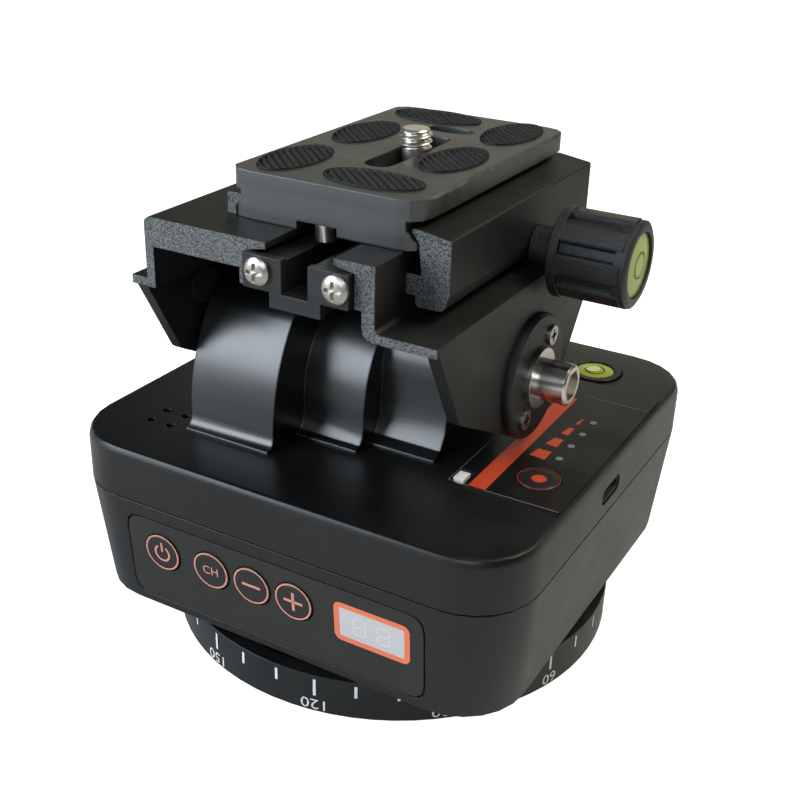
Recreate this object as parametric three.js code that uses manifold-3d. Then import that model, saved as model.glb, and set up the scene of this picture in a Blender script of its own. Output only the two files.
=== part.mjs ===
// A motorised pan tilt head for a small camera, in millimetres, with Z up.
// The origin is where the pan axis meets the surface that the head stands on.
// The front, with its control panel, faces -Y, and the USB side faces +X.

import * as THREE from 'three';
import { mergeVertices } from 'three/addons/utils/BufferGeometryUtils.js';
import Module from 'manifold-3d';

const wasm = await Module();
wasm.setup();

// Housing
const bodyDepth = 100;
const bodyCornerRadius = 13.6;
const housingTaper = 2;
const housingUnderside = 11.6;
const housingFootChamfer = 0.8;
const lowerHousingHeight = 25.2;
const partingGap = 0.3;
const coverHeight = 11;
const coverEdgeRise = 2;
const coverEdgeInset = 1;
const shellWall = 2.2;
const floorThickness = 2.4;
const postRadius = 3;
const postInset = 12;

// Clearances
const gap = 0.3;
const slidingGap = 0.1;
const overrun = 1;

// Dial and pan bearing
const dialRadius = 48.6;
const dialChamfer = 0.5;
const dialUnderside = 0.3;
const dialBandTop = 9.4;
const dialWall = 3.2;
const dialPocketFloor = 4;
const dialHubRadius = 11;
const dialHubTop = 8;
const rubberInner = 34;
const rubberOuter = 43;
const rubberThickness = 1.8;
const socketRadius = 8;
const socketTop = 5.7;
const socketBore = 3.2;
const socketSlotWidth = 2;
const spindleBottom = 6;
const spindleBore = 5.2;
const spindleTop = 20.5;
const shoulderRadius = 10.5;
const bearingOuter = 11.7;
const bearingHeight = 4;
const bearingBossWall = 2.2;
const spindleNutRadius = 10.6;
const spindleNutHeight = 3;

// Pan drive
const panToothSize = 1;
const panGearTeeth = 30;
const panPinionTeeth = 12;
const panGearWidth = 3.6;
const gearBacklash = 0.3;
const motorRadius = 6.5;
const motorShaftRadius = 1.5;
const panMotorLength = 20;
const motorCapLength = 2.4;
const motorCapInset = 0.6;

// Tilt axis and the three stepped drums of its housing
const tiltAxisSetback = 5;
const drumSideClearance = 1;
const drumOneRight = -8.6;
const drumTwoRight = 5.5;
const drumThreeRight = 20.4;
const drumWall = 2.2;
const drumToe = 0.3;
const drumOneReach = 29.5;
const drumOneSweep = 38.1;
const drumOneDrop = 12.4;
const drumOneShoulder = 11;
const drumOneCrown = 15.5;
const drumOneFlareOut = 2;
const drumOneFlareUp = 2.2;
const drumTwoReach = 18.7;
const drumTwoSweep = 21.9;
const drumTwoDrop = 8.3;
const drumTwoShoulder = 8;
const drumTwoCrown = 12.6;
const drumTwoFlareOut = 3;
const drumTwoFlareUp = 4;
const drumThreeReach = 12;
const drumThreeSweep = 12;
const drumThreeDrop = 1;
const drumThreeShoulder = 7;
const drumThreeCrown = 11;
const drumThreeFlareOut = 5;
const drumThreeFlareUp = 8;

// Tilt drive
const tiltToothSize = 0.8;
const tiltGearTeeth = 18;
const tiltPinionTeeth = 12;
const tiltGearSetIn = 3.5;
const tiltGearWidth = 4;
const tiltShaftRadius = 4;
const tiltMotorLength = 26;

// Control panel on the front face
const panelSideMargin = 2.4;
const panelTopMargin = 3.2;
const panelBottomMargin = 2.8;
const panelCorner = 3.4;
const panelPocket = 0.9;
const panelThickness = 0.6;
const buttonRadius = 4.2;
const buttonDrop = 7.1;
const buttonProud = 0.3;
const buttonRound = 0.3;
const buttonFlange = 0.2;
const buttonFlangeThickness = 0.8;
const buttonTravel = 0.6;
const rowLeftMargin = 3.7;
const rowRightMargin = 3.2;
const powerSpacing = 2.7;
const buttonSpacing = 0.35;
const displaySpacing = 4.7;
const displayDrop = 7.5;
const displayWidth = 15.4;
const displayTall = 8;
const displayThickness = 1.4;
const boardSideInset = 1;
const boardEdgeInset = 1.2;
const boardThickness = 1.2;
const boardRibWidth = 1.6;

// Battery, sound holes and socket
const batterySideGap = 2.8;
const batteryWidth = 20;
const batteryEndGap = 6;
const batteryHeight = 18;
const batteryRound = 4;
const soundHoleSideInset = 15.2;
const soundHoleFrontInset = 15.4;
const soundHolePitch = 4.9;
const soundHoleRadius = 0.9;
const usbY = -2;
const usbDrop = 6.5;
const usbWidth = 8.9;
const usbTall = 3.2;
const usbWall = 0.4;
const usbLength = 7.3;
const usbTongueWidth = 6.6;
const usbTongueThickness = 0.7;

// Label, record button, switch and level on the cover
const labelWidth = 23;
const labelSideMargin = 1.2;
const labelFrontMargin = 23.4;
const labelRearMargin = 20.8;
const labelThickness = 0.3;
const labelCorner = 1;
const recordSideInset = 8.3;
const recordFrontInset = 9.5;
const recordRadius = 4;
const recordProud = 0.1;
const switchInset = 1.6;
const switchSlotInset = 0.3;
const switchTravel = 1;
const switchSlotWidth = 3;
const switchNubWidth = 2.2;
const switchNubLength = 3;
const switchProud = 0.2;
const switchDepth = 2;
const levelSideInset = 19;
const levelRearInset = 14;
const levelRadius = 6;
const levelDepth = 2.6;
const levelProud = 0.4;
const levelWall = 1.6;
const levelFloor = 0.8;
const levelDome = 0.3;

// Bracket, measured from the tilt axis
const bracketFront = 40.2;
const bracketRear = 35;
const hatRise = 11.8;
const plateThickness = 5.5;
const crownClearance = 2.8;
const shelfThickness = 1.7;
const rightShelf = 11.9;
const leftShelf = 3.6;
const legThickness = 2.4;
const hatRightWall = 4;
const hatWall = 1.9;
const hatRightLowerWall = 2.5;
const hatRightStep = 8.2;
const hatCornerRound = 1.5;
const slotCentreX = 5.2;
const slotHalfWidth = 6.9;
const lipThickness = 2;
const lipTaper = 0.8;
const ribThickness = 1.6;
const ribDrop = 8.4;
const legNoseReach = 30.2;
const legNoseHeight = 1.9;
const legNoseRound = 3;
const legFootRadius = 12.6;
const legFootClearance = 2.6;
const legHeelReach = 17;
const legHeelDrop = 4.2;

// Jaws and clamp
const jawFront = 29.6;
const jawRear = 32;
const jawTopRise = 3.9;
const jawTipRise = 3.2;
const jawRootRise = 1.5;
const jawRootInset = 0.7;
const footClearance = 0.3;
const waistClearance = 0.6;
const jawTipFlat = 0.5;
const ridgeThickness = 1.9;
const jawSetOff = 2.8;
const jawBlockWidth = 5.5;
const jawBlockDrop = 9.9;
const jawBlockRound = 1.6;
const tongueBite = 1.5;
const tongueTopDrop = 4.1;
const tongueBottomDrop = 7.9;
const screwThreadRadius = 1.7;
const screwSetback = 6;
const screwDrop = 7.5;
const screwTipMargin = 0.5;
const screwInKnob = 5.9;

// Knob
const knobNeckRadius = 4;
const knobNeckLength = 5.4;
const knobLength = 15.6;
const knobWall = 1.3;
const knobLip = 2.1;
const knobRimRise = 0.3;
const knobRearRim = 2.2;
const knobEndRim = 2.6;
const knobRibWidth = 4.2;
const knobRibRise = 1;
const knobRibRound = 0.9;
const knobRibs = 8;
const vialRadius = 6.2;
const vialDepth = 2.4;
const vialDome = 0.5;

// Slide channel, its end plates and stop pins
const endPlateThickness = 1.5;
const channelHalfWidth = 10.6;
const wingBottomDrop = 7.9;
const channelTopDrop = 2.3;
const keelHalfWidth = 5;
const keelBottomDrop = 10.7;
const endPlateMargin = 0.2;
const bridgeThickness = 1.7;
const bridgeHalfLength = 12;
const grooveHalfWidth = 2.7;
const endScrewInset = 2.7;
const endScrewShift = 0.5;
const endScrewDrop = 4.7;
const endScrewHeadRadius = 2.6;
const endScrewHeadHeight = 1.4;
const endScrewHeadRound = 0.5;
const endScrewShankRadius = 1.2;
const endScrewLength = 6;
const crossSlotWidth = 0.7;
const crossSlotDepth = 0.7;
const stopPinShift = 1.8;
const stopPinRadius = 2;
const stopPinInset = 2.2;
const stopPinDrop = 1.5;

// Release plate, camera screw and pads
const releaseHalfWidth = 19.8;
const releaseFront = 31.2;
const releaseRear = 31.2;
const releaseThickness = 8.8;
const releaseCorner = 5;
const releaseTopChamfer = 0.5;
const footHalfWidth = 18.6;
const footRise = 1.3;
const waistHalfWidth = 16.9;
const waistRise = 3.4;
const slabRise = 5.1;
const pinGrooveShift = 2.45;
const pinGrooveHalfWidth = 4.15;
const pinGrooveDepth = 1.5;
const pinGrooveLength = 9.5;
const cameraScrewShift = 1.5;
const screwSlotHalfWidth = 2.9;
const screwSlotFront = 16;
const screwSlotRear = 10.8;
const screwStepHalfWidth = 6;
const screwStepDepth = 3.4;
const twistSlotInset = 14.2;
const twistSlotHalfLength = 5.3;
const twistSlotHalfWidth = 2.6;
const cameraScrewRadius = 3.175;
const cameraScrewRise = 3.9;
const cameraScrewNeck = 2.6;
const cameraScrewNeckRise = 0.3;
const cameraScrewHeadRadius = 5.4;
const cameraScrewHeadHeight = 2.4;
const coinSlotWidth = 1.2;
const coinSlotDepth = 1.2;
const cameraScrewTip = 0.6;
const retainerRadius = 5.5;
const retainerThickness = 0.5;

// Six oval grip pads, three of them and their twins on the far side of the pattern's centre, with their
// places as shares of the plate's half width and half length
const padProud = 0.3;
const padDepth = 0.7;
const padShiftX = 0.5;
const padShiftY = 0.95;
const padHalfLength = 9.8;
const padHalfWidth = 5.2;
const sidePadShares = [0.63, 0.64];
const midPadShares = [0.61, -0.14];
const endPadShares = [0.34, -0.78];

// Flange, washer and screws on the tilt shaft
const flangeThickness = 1.5;
const flangeOverhang = 0.1;
const flangeEdgeRound = 0.5;
const flangeScrewInset = 3.9;
const flangeScrewTurn = 53.78;
const flangeScrewRadius = 2;
const flangeScrewHead = 0.7;
const washerClearance = 0.7;
const washerThickness = 1.1;
const pivotHeadRadius = 4.1;
const pivotHeadLength = 6.2;
const pivotHexRadius = 3.1;
const pivotHexDepth = 3;
const pivotShankRadius = 2.4;
const pivotShankLength = 6;
const pivotHeadChamfer = 0.4;
const leftPivotRadius = 4;
const leftPivotHeadRadius = 6;
const leftPivotHeadThickness = 2;
const travelStopY = 22.6;
const travelStopZ = 13.3;
const travelStopRadius = 3.9;
const travelStopThickness = 0.6;

// Smoothness of round shapes
const roundSteps = 36;
const smallRoundSteps = 16;
const cornerSteps = 6;
const edgeSteps = 3;
const drumSteps = 12;
const sideShare = 0.5;

// Places that follow from the sizes above
const half = (size) => size * sideShare;
const partingHeight = housingUnderside + lowerHousingHeight;
const coverTopHeight = partingHeight + partingGap + coverHeight;
const coverInnerTop = coverTopHeight - floorThickness;
const housingFloor = housingUnderside + floorThickness;

// The button row sets the width of the panel, and the panel that of the housing
const buttonFlangeRadius = buttonRadius + gap + buttonFlange;
const buttonPitch = 2 * buttonFlangeRadius + buttonSpacing;
const panelWidth = rowLeftMargin + 8 * buttonFlangeRadius + powerSpacing + 2 * buttonSpacing
  + displaySpacing + displayWidth + rowRightMargin;
const panelHalfWidth = half(panelWidth);
const powerButtonX = rowLeftMargin + buttonFlangeRadius - panelHalfWidth;
const channelButtonX = powerButtonX + 2 * buttonFlangeRadius + powerSpacing;
const minusButtonX = channelButtonX + buttonPitch;
const plusButtonX = minusButtonX + buttonPitch;
const displayX = panelHalfWidth - rowRightMargin - half(displayWidth);
const panelTop = partingHeight - panelTopMargin;
const panelBottom = housingUnderside + panelBottomMargin;
const buttonHeight = panelTop - buttonDrop;
const displayHeight = panelTop - displayDrop;
const boardHalfWidth = panelHalfWidth - boardSideInset;
const boardHalfHeight = half(panelTop - panelBottom) - boardEdgeInset;
const boardFront = shellWall + buttonFlangeThickness + buttonTravel + 2 * gap;
const bodyWidth = panelWidth + 2 * (panelSideMargin + bodyCornerRadius);
const footHalfWidthX = half(bodyWidth) - housingTaper;
const footHalfWidthY = half(bodyDepth) - housingTaper;

// Places of what the housing holds
const batteryX = half(batteryWidth) + batterySideGap + shellWall - footHalfWidthX;
const batteryLength = bodyDepth - 2 * (postInset + postRadius + batteryEndGap);
const soundHoleX = soundHoleSideInset - half(bodyWidth);
const soundHoleY = soundHoleFrontInset - half(bodyDepth);
const usbHeight = coverTopHeight - usbDrop;
const labelRight = half(bodyWidth) - labelSideMargin;
const labelLeft = labelRight - labelWidth;
const labelFront = labelFrontMargin - half(bodyDepth);
const labelRear = half(bodyDepth) - labelRearMargin;
const recordX = labelRight - recordSideInset;
const recordY = labelFront + recordFrontInset;
const switchX = labelLeft + switchInset;
const switchSlotFront = labelFront + switchSlotInset;
const switchY = switchSlotFront + switchTravel + gap + half(switchNubLength);
const switchSlotRear = switchY + half(switchNubLength) + gap;
const levelX = half(bodyWidth) - levelSideInset;
const levelY = half(bodyDepth) - levelRearInset;

// The bracket clears the drums and the cover, and its hat holds the slide channel
const tiltAxisY = -tiltAxisSetback;
const tiltAxisHeight = coverTopHeight + legFootRadius + legFootClearance;
const shelfTop = drumOneCrown + crownClearance + shelfThickness;
const bracketTop = shelfTop + hatRise;
const cavityHalfWidth = channelHalfWidth + gap;
const hatRight = slotCentreX + cavityHalfWidth + hatRightWall;
const legOuter = hatRight + rightShelf;
const hatLeft = legOuter - leftShelf;
const legInner = legOuter - legThickness;
const drumLeft = drumSideClearance - legInner;
const tiltGearLeft = drumTwoRight + tiltGearSetIn;
const flangeRadius = legFootRadius + flangeOverhang;
const flangeScrewCircle = flangeRadius - flangeScrewInset;
const flangeScrewY = flangeScrewCircle * Math.cos(THREE.MathUtils.degToRad(flangeScrewTurn));
const flangeScrewZ = flangeScrewCircle * Math.sin(THREE.MathUtils.degToRad(flangeScrewTurn));
const washerRadius = flangeScrewCircle - flangeScrewRadius - washerClearance;

// The jaws set the centre of the release plate, and the clamp screw the place of the knob
const jawRootReach = footHalfWidth + footClearance;
const jawTipReach = waistHalfWidth + waistClearance;
const jawBlockInner = hatRight + jawSetOff;
const jawBlockOuter = jawBlockInner + jawBlockWidth;
const plateCentreX = jawBlockInner - jawRootInset - jawRootReach;
const tongueLeft = hatRight - tongueBite;
const screwHeight = bracketTop - screwDrop;
const screwTip = slotCentreX + cavityHalfWidth + screwTipMargin;
const knobRear = jawBlockOuter + knobNeckLength;
const knobEnd = knobRear + knobLength;
const screwEnd = knobRear + screwInKnob;
const knobCoreRadius = vialRadius + knobWall;
const knobRibRadius = knobCoreRadius + knobRibRise;
const knobRimRadius = knobRibRadius + knobRimRise;
const knobEndRadius = vialRadius + knobLip;
const endScrewReach = channelHalfWidth - endScrewInset;
const releaseBottom = bracketTop + slidingGap;
const stopPinX = slotCentreX - stopPinShift;
const stopPinReach = releaseRear - stopPinInset;
const pinGrooveX = slotCentreX - pinGrooveShift;
const cameraScrewX = plateCentreX + cameraScrewShift;
const twistSlotY = releaseRear - twistSlotInset;

// Solids: a closed geometry becomes a solid, solids are joined and cut, and the result becomes a geometry

function orientedTriangles(merged) {
  const { index } = merged;
  const place = merged.attributes.position;
  const corner = [new THREE.Vector3(), new THREE.Vector3(), new THREE.Vector3()];
  const triangles = [];
  let volume = 0;
  for (let i = 0; i < index.count; i += 3) {
    const abc = [index.getX(i), index.getX(i + 1), index.getX(i + 2)];
    if (new Set(abc).size < 3) continue;
    abc.forEach((vertex, k) => corner[k].fromBufferAttribute(place, vertex));
    volume += corner[0].dot(corner[1].clone().cross(corner[2]));
    triangles.push(abc);
  }
  if (volume < 0) triangles.forEach((abc) => abc.reverse());
  return new Uint32Array(triangles.flat());
}

function solid(geometry) {
  const bare = geometry.clone();
  bare.deleteAttribute('normal');
  bare.deleteAttribute('uv');
  const merged = mergeVertices(bare);
  const mesh = new wasm.Mesh({
    numProp: 3,
    vertProperties: new Float32Array(merged.attributes.position.array),
    triVerts: orientedTriangles(merged),
  });
  return new wasm.Manifold(mesh);
}

function join(...geometries) {
  return asGeometry(geometries.map(solid).reduce((whole, next) => whole.add(next)));
}

function cut(geometry, ...cutters) {
  return asGeometry(cutters.map(solid).reduce((whole, next) => whole.subtract(next), solid(geometry)));
}

function asGeometry(manifold) {
  const mesh = manifold.getMesh();
  const geometry = new THREE.BufferGeometry();
  const places = new Float32Array(mesh.numVert * 3);
  for (let i = 0; i < mesh.numVert; i += 1) {
    places.set(mesh.vertProperties.subarray(i * mesh.numProp, i * mesh.numProp + 3), i * 3);
  }
  geometry.setAttribute('position', new THREE.BufferAttribute(places, 3));
  geometry.setIndex(new THREE.BufferAttribute(mesh.triVerts, 1));
  return geometry;
}

// Shapes pushed along an axis: an outline in (y, z) along X, in (x, z) along Y, in (x, y) along Z

const extruded = (outline, depth) =>
  new THREE.ExtrudeGeometry(outline, { depth, bevelEnabled: false, curveSegments: drumSteps });

function alongX(outline, from, to) {
  const turn = new THREE.Matrix4().makeBasis(
    new THREE.Vector3(0, 1, 0), new THREE.Vector3(0, 0, 1), new THREE.Vector3(1, 0, 0));
  return extruded(outline, to - from).applyMatrix4(turn).translate(from, 0, 0);
}

function alongY(outline, from, to) {
  return extruded(outline, to - from).rotateX(Math.PI / 2).translate(0, to, 0);
}

function alongZ(outline, from, to) {
  return extruded(outline, to - from).translate(0, 0, from);
}

// A turned shape from (radius, height) points, about Z, or about X or Y with height along that axis
function turned(points, steps = roundSteps) {
  const profile = points.map(([radius, height]) => new THREE.Vector2(radius, height));
  return new THREE.LatheGeometry(profile, steps).rotateX(Math.PI / 2);
}

const turnedX = (points, steps) => turned(points, steps).rotateY(Math.PI / 2);
const turnedY = (points, steps) => turned(points, steps).rotateX(-Math.PI / 2);

const disc = (radius, from, to, steps) => turned([[0, from], [radius, from], [radius, to], [0, to]], steps);
const ring = (inner, outer, from, to, steps) =>
  turned([[inner, from], [outer, from], [outer, to], [inner, to], [inner, from]], steps);

function box(x0, x1, y0, y1, z0, z1) {
  return new THREE.BoxGeometry(x1 - x0, y1 - y0, z1 - z0)
    .translate(half(x0 + x1), half(y0 + y1), half(z0 + z1));
}

// An outline through corner points, each [across, up, radius], with the radius left out where it is sharp
function outline(points) {
  const shape = new THREE.Shape();
  points.forEach(([x, y, radius], i) => {
    const here = new THREE.Vector2(x, y);
    const before = new THREE.Vector2(...points[(i + points.length - 1) % points.length]);
    const after = new THREE.Vector2(...points[(i + 1) % points.length]);
    const back = before.sub(here);
    const ahead = after.sub(here);
    if (!radius) {
      if (i) shape.lineTo(x, y);
      else shape.moveTo(x, y);
      return;
    }
    const halfAngle = half(Math.acos(back.clone().normalize().dot(ahead.clone().normalize())));
    const room = half(Math.min(back.length(), ahead.length()));
    const reach = Math.min(radius / Math.tan(halfAngle), room);
    const start = here.clone().add(back.setLength(reach));
    const end = here.clone().add(ahead.setLength(reach));
    if (i) shape.lineTo(start.x, start.y);
    else shape.moveTo(start.x, start.y);
    const bend = new THREE.QuadraticBezierCurve(start, here, end);
    bend.getPoints(edgeSteps).slice(1).forEach((p) => shape.lineTo(p.x, p.y));
  });
  shape.closePath();
  return shape;
}

function roundedBox(width, height, radius, x = 0, y = 0) {
  return outline([
    [x - half(width), y - half(height), radius], [x + half(width), y - half(height), radius],
    [x + half(width), y + half(height), radius], [x - half(width), y + half(height), radius],
  ]);
}

// A ring of points round a rounded square, and the closed loft through such rings
function housingRing(halfWidth, halfDepth, radius, height) {
  const points = [];
  for (let corner = 0; corner < 4; corner += 1) {
    const right = corner === 0 || corner === 3;
    const rear = corner < 2;
    const centreX = (right ? 1 : -1) * (halfWidth - radius);
    const centreY = (rear ? 1 : -1) * (halfDepth - radius);
    for (let step = 0; step <= cornerSteps; step += 1) {
      const angle = (corner + step / cornerSteps) * (Math.PI / 2);
      points.push([centreX + radius * Math.cos(angle), centreY + radius * Math.sin(angle), height]);
    }
  }
  return points;
}

function loft(rings) {
  const count = rings[0].length;
  const faces = [];
  for (let level = 0; level + 1 < rings.length; level += 1) {
    for (let i = 0; i < count; i += 1) {
      const a = level * count + i;
      const b = level * count + ((i + 1) % count);
      faces.push(a, b, b + count, a, b + count, a + count);
    }
  }
  const last = (rings.length - 1) * count;
  for (let i = 1; i + 1 < count; i += 1) {
    faces.push(0, i + 1, i, last, last + i, last + i + 1);
  }
  const geometry = new THREE.BufferGeometry();
  geometry.setAttribute('position', new THREE.Float32BufferAttribute(rings.flat(2), 3));
  geometry.setIndex(faces);
  return geometry;
}

// Involute gear, with its teeth turned by phase so that two gears can stand in mesh
function gearOutline(teeth, toothSize, phase) {
  const pressure = THREE.MathUtils.degToRad(20);
  const pitchRadius = half(teeth * toothSize);
  const baseRadius = pitchRadius * Math.cos(pressure);
  const rootRadius = pitchRadius - 1.25 * toothSize;
  const tipRadius = pitchRadius + toothSize;
  const involute = (angle) => Math.tan(angle) - angle;
  const halfTooth = half(Math.PI / teeth) - gearBacklash / (4 * pitchRadius) + involute(pressure);
  const halfWidthAt = (radius) => halfTooth - involute(Math.acos(Math.min(1, baseRadius / radius)));
  const flank = [rootRadius, pitchRadius, tipRadius];
  const shape = new THREE.Shape();
  for (let tooth = 0; tooth < teeth; tooth += 1) {
    const middle = phase + (tooth * 2 * Math.PI) / teeth;
    const rising = flank.map((radius) => [radius, middle - halfWidthAt(radius)]);
    const falling = flank.map((radius) => [radius, middle + halfWidthAt(radius)]).reverse();
    [...rising, ...falling].forEach(([radius, angle], i) => {
      const x = radius * Math.cos(angle);
      const y = radius * Math.sin(angle);
      if (tooth || i) shape.lineTo(x, y);
      else shape.moveTo(x, y);
    });
  }
  shape.closePath();
  return shape;
}

function hexagon(radius) {
  const corners = Array.from({ length: 6 }, (_, i) => (i * Math.PI) / 3);
  return outline(corners.map((angle) => [radius * Math.cos(angle), radius * Math.sin(angle)]));
}

function withHole(shape, radius) {
  const hole = new THREE.Path();
  hole.absarc(0, 0, radius, 0, 2 * Math.PI, true);
  shape.holes.push(hole);
  return shape;
}

// Materials
const finish = (color, roughness, metalness) =>
  new THREE.MeshStandardMaterial({ color, roughness, metalness });
const finishes = {
  housing: finish('#1d1e20', 0.45, 0),
  drums: finish('#17181a', 0.25, 0),
  anodised: finish('#222326', 0.4, 0.8),
  brushed: finish('#2b2c2f', 0.35, 0.9),
  panel: finish('#151617', 0.4, 0),
  orange: finish('#e2683c', 0.5, 0),
  white: finish('#e8e6e0', 0.5, 0),
  display: finish('#b9b6b2', 0.3, 0),
  rubber: finish('#141414', 0.9, 0),
  chrome: finish('#cfd0d2', 0.2, 1),
  steel: finish('#9b9da0', 0.35, 1),
  brass: finish('#b59a55', 0.35, 1),
  board: finish('#1e5a38', 0.6, 0),
  vial: finish('#c8dc3c', 0.15, 0),
  dial: finish('#131415', 0.35, 0.2),
  nylon: finish('#dedbd0', 0.6, 0),
};

function piece(group, name, geometry, material) {
  const mesh = new THREE.Mesh(geometry, finishes[material]);
  mesh.name = name;
  group.add(mesh);
  return mesh;
}

// Base: the dial, its rubber ring, the tripod thread and the spindle

function dialBase() {
  const bore = socketRadius + gap;
  return turned([
    [bore, dialUnderside], [rubberInner - gap, dialUnderside],
    [rubberInner - gap, rubberThickness], [rubberOuter + gap, rubberThickness],
    [rubberOuter + gap, dialUnderside], [dialRadius - dialChamfer, dialUnderside],
    [dialRadius, dialUnderside + dialChamfer], [dialRadius, dialBandTop],
    [dialRadius - dialWall, dialBandTop], [dialRadius - dialWall, dialPocketFloor],
    [dialHubRadius, dialPocketFloor], [dialHubRadius, dialHubTop],
    [bore, dialHubTop], [bore, dialUnderside],
  ], roundSteps * 2);
}

function tripodSocket() {
  const body = ring(socketBore, socketRadius, dialUnderside, socketTop);
  const slot = half(socketSlotWidth);
  const reach = socketRadius + overrun;
  const depth = dialUnderside + half(socketSlotWidth);
  return cut(body, box(-reach, reach, -slot, slot, 0, depth));
}

function panSpindle() {
  const bearingBottom = housingUnderside;
  return turned([
    [spindleBore, spindleBottom], [socketRadius, spindleBottom],
    [socketRadius, dialHubTop], [shoulderRadius, dialHubTop],
    [shoulderRadius, bearingBottom], [socketRadius, bearingBottom],
    [socketRadius, spindleTop], [spindleBore, spindleTop], [spindleBore, spindleBottom],
  ]);
}

const bearingTop = housingUnderside + bearingHeight;
const panGearCentre = half((panGearTeeth + panPinionTeeth) * panToothSize);

const base = new THREE.Group();
piece(base, 'dial_base', dialBase(), 'dial');
piece(base, 'rubber_ring', ring(rubberInner, rubberOuter, 0, rubberThickness), 'rubber');
piece(base, 'tripod_socket', tripodSocket(), 'steel');
piece(base, 'pan_spindle', panSpindle(), 'steel');
piece(base, 'spindle_nut', alongZ(
  withHole(hexagon(spindleNutRadius), socketRadius + slidingGap),
  bearingTop + gap, bearingTop + gap + spindleNutHeight), 'steel');
piece(base, 'pan_gear', alongZ(
  withHole(gearOutline(panGearTeeth, panToothSize, Math.PI / 2), dialHubRadius + gap),
  dialPocketFloor, dialPocketFloor + panGearWidth), 'nylon');

// Head: the housing halves with their cut-outs

const panelCentreHeight = half(panelBottom + panelTop);
const panelLean = Math.atan2(housingTaper, partingHeight - housingUnderside);
const panelFaceY = -footHalfWidthY
  - (housingTaper * (panelCentreHeight - housingUnderside)) / (partingHeight - housingUnderside);
const panelUp = (height) => (height - panelCentreHeight) / Math.cos(panelLean);
const panelTall = (panelTop - panelBottom) / Math.cos(panelLean);

function onPanel(geometry) {
  return geometry.rotateX(panelLean).translate(0, panelFaceY, panelCentreHeight);
}

const panelButtons = [
  ['power_button', powerButtonX], ['channel_button', channelButtonX],
  ['minus_button', minusButtonX], ['plus_button', plusButtonX],
];

const buttonHoles = (from, to) => panelButtons.map(([, x]) =>
  turnedY([[0, from], [buttonRadius + gap, from], [buttonRadius + gap, to], [0, to]], smallRoundSteps)
    .translate(x, 0, panelUp(buttonHeight)));

const displayHole = (from, to) => alongY(
  roundedBox(displayWidth + 2 * gap, displayTall + 2 * gap, gap * 2, displayX, panelUp(displayHeight)),
  from, to);

function lowerHousing() {
  const radius = bodyCornerRadius;
  const chamfer = housingFootChamfer;
  const topX = half(bodyWidth);
  const topY = half(bodyDepth);
  const outer = loft([
    housingRing(footHalfWidthX - chamfer, footHalfWidthY - chamfer, radius, housingUnderside),
    housingRing(footHalfWidthX, footHalfWidthY, radius, housingUnderside + chamfer),
    housingRing(topX, topY, radius, partingHeight),
  ]);
  const inner = loft([
    housingRing(footHalfWidthX - shellWall, footHalfWidthY - shellWall, radius - shellWall, housingFloor),
    housingRing(topX - shellWall, topY - shellWall, radius - shellWall, partingHeight + overrun),
  ]);
  const boss = disc(bearingOuter + gap + bearingBossWall, housingUnderside, bearingTop);
  const posts = [[-1, -1], [1, -1], [1, 1], [-1, 1]].map(([x, y]) =>
    disc(postRadius, housingUnderside, partingHeight - gap, smallRoundSteps)
      .translate(x * (topX - postInset), y * (topY - postInset), 0));
  const ribInner = boardHalfWidth - boardRibWidth;
  const ribs = [-1, 1].map((side) => onPanel(box(
    side * ribInner, side * boardHalfWidth, half(shellWall), boardFront - gap,
    -boardHalfHeight, boardHalfHeight)));
  const pocket = onPanel(alongY(
    roundedBox(2 * (panelHalfWidth + gap), panelTall + 2 * gap, panelCorner), -overrun, panelPocket));
  const through = shellWall + overrun;
  return cut(
    join(cut(outer, inner), boss, ...posts, ...ribs),
    pocket,
    onPanel(displayHole(-overrun, through)),
    ...buttonHoles(-overrun, through).map(onPanel),
    disc(bearingOuter + gap, housingUnderside - overrun, bearingTop + overrun),
    disc(motorShaftRadius + gap, housingUnderside - overrun, housingFloor + overrun, smallRoundSteps)
      .translate(0, panGearCentre, 0),
  );
}

function coverOuter() {
  const wide = half(bodyWidth);
  const deep = half(bodyDepth);
  const rings = [housingRing(wide, deep, bodyCornerRadius, partingHeight + partingGap)];
  for (let step = 0; step <= edgeSteps; step += 1) {
    const angle = (step / edgeSteps) * (Math.PI / 2);
    const inset = coverEdgeInset * (1 - Math.cos(angle));
    const height = coverTopHeight - coverEdgeRise * (1 - Math.sin(angle));
    rings.push(housingRing(wide - inset, deep - inset, bodyCornerRadius, height));
  }
  return loft(rings);
}

const usbOpening = (width, tall, from, to) =>
  alongX(roundedBox(width, tall, half(tall), usbY, usbHeight), from, to);

function soundHoles() {
  const offsets = [-half(soundHolePitch), half(soundHolePitch)];
  return offsets.flatMap((x) => offsets.map((y) =>
    disc(soundHoleRadius, coverInnerTop - overrun, coverTopHeight + overrun, cornerSteps * 2)
      .translate(soundHoleX + x, soundHoleY + y, 0)));
}

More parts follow.
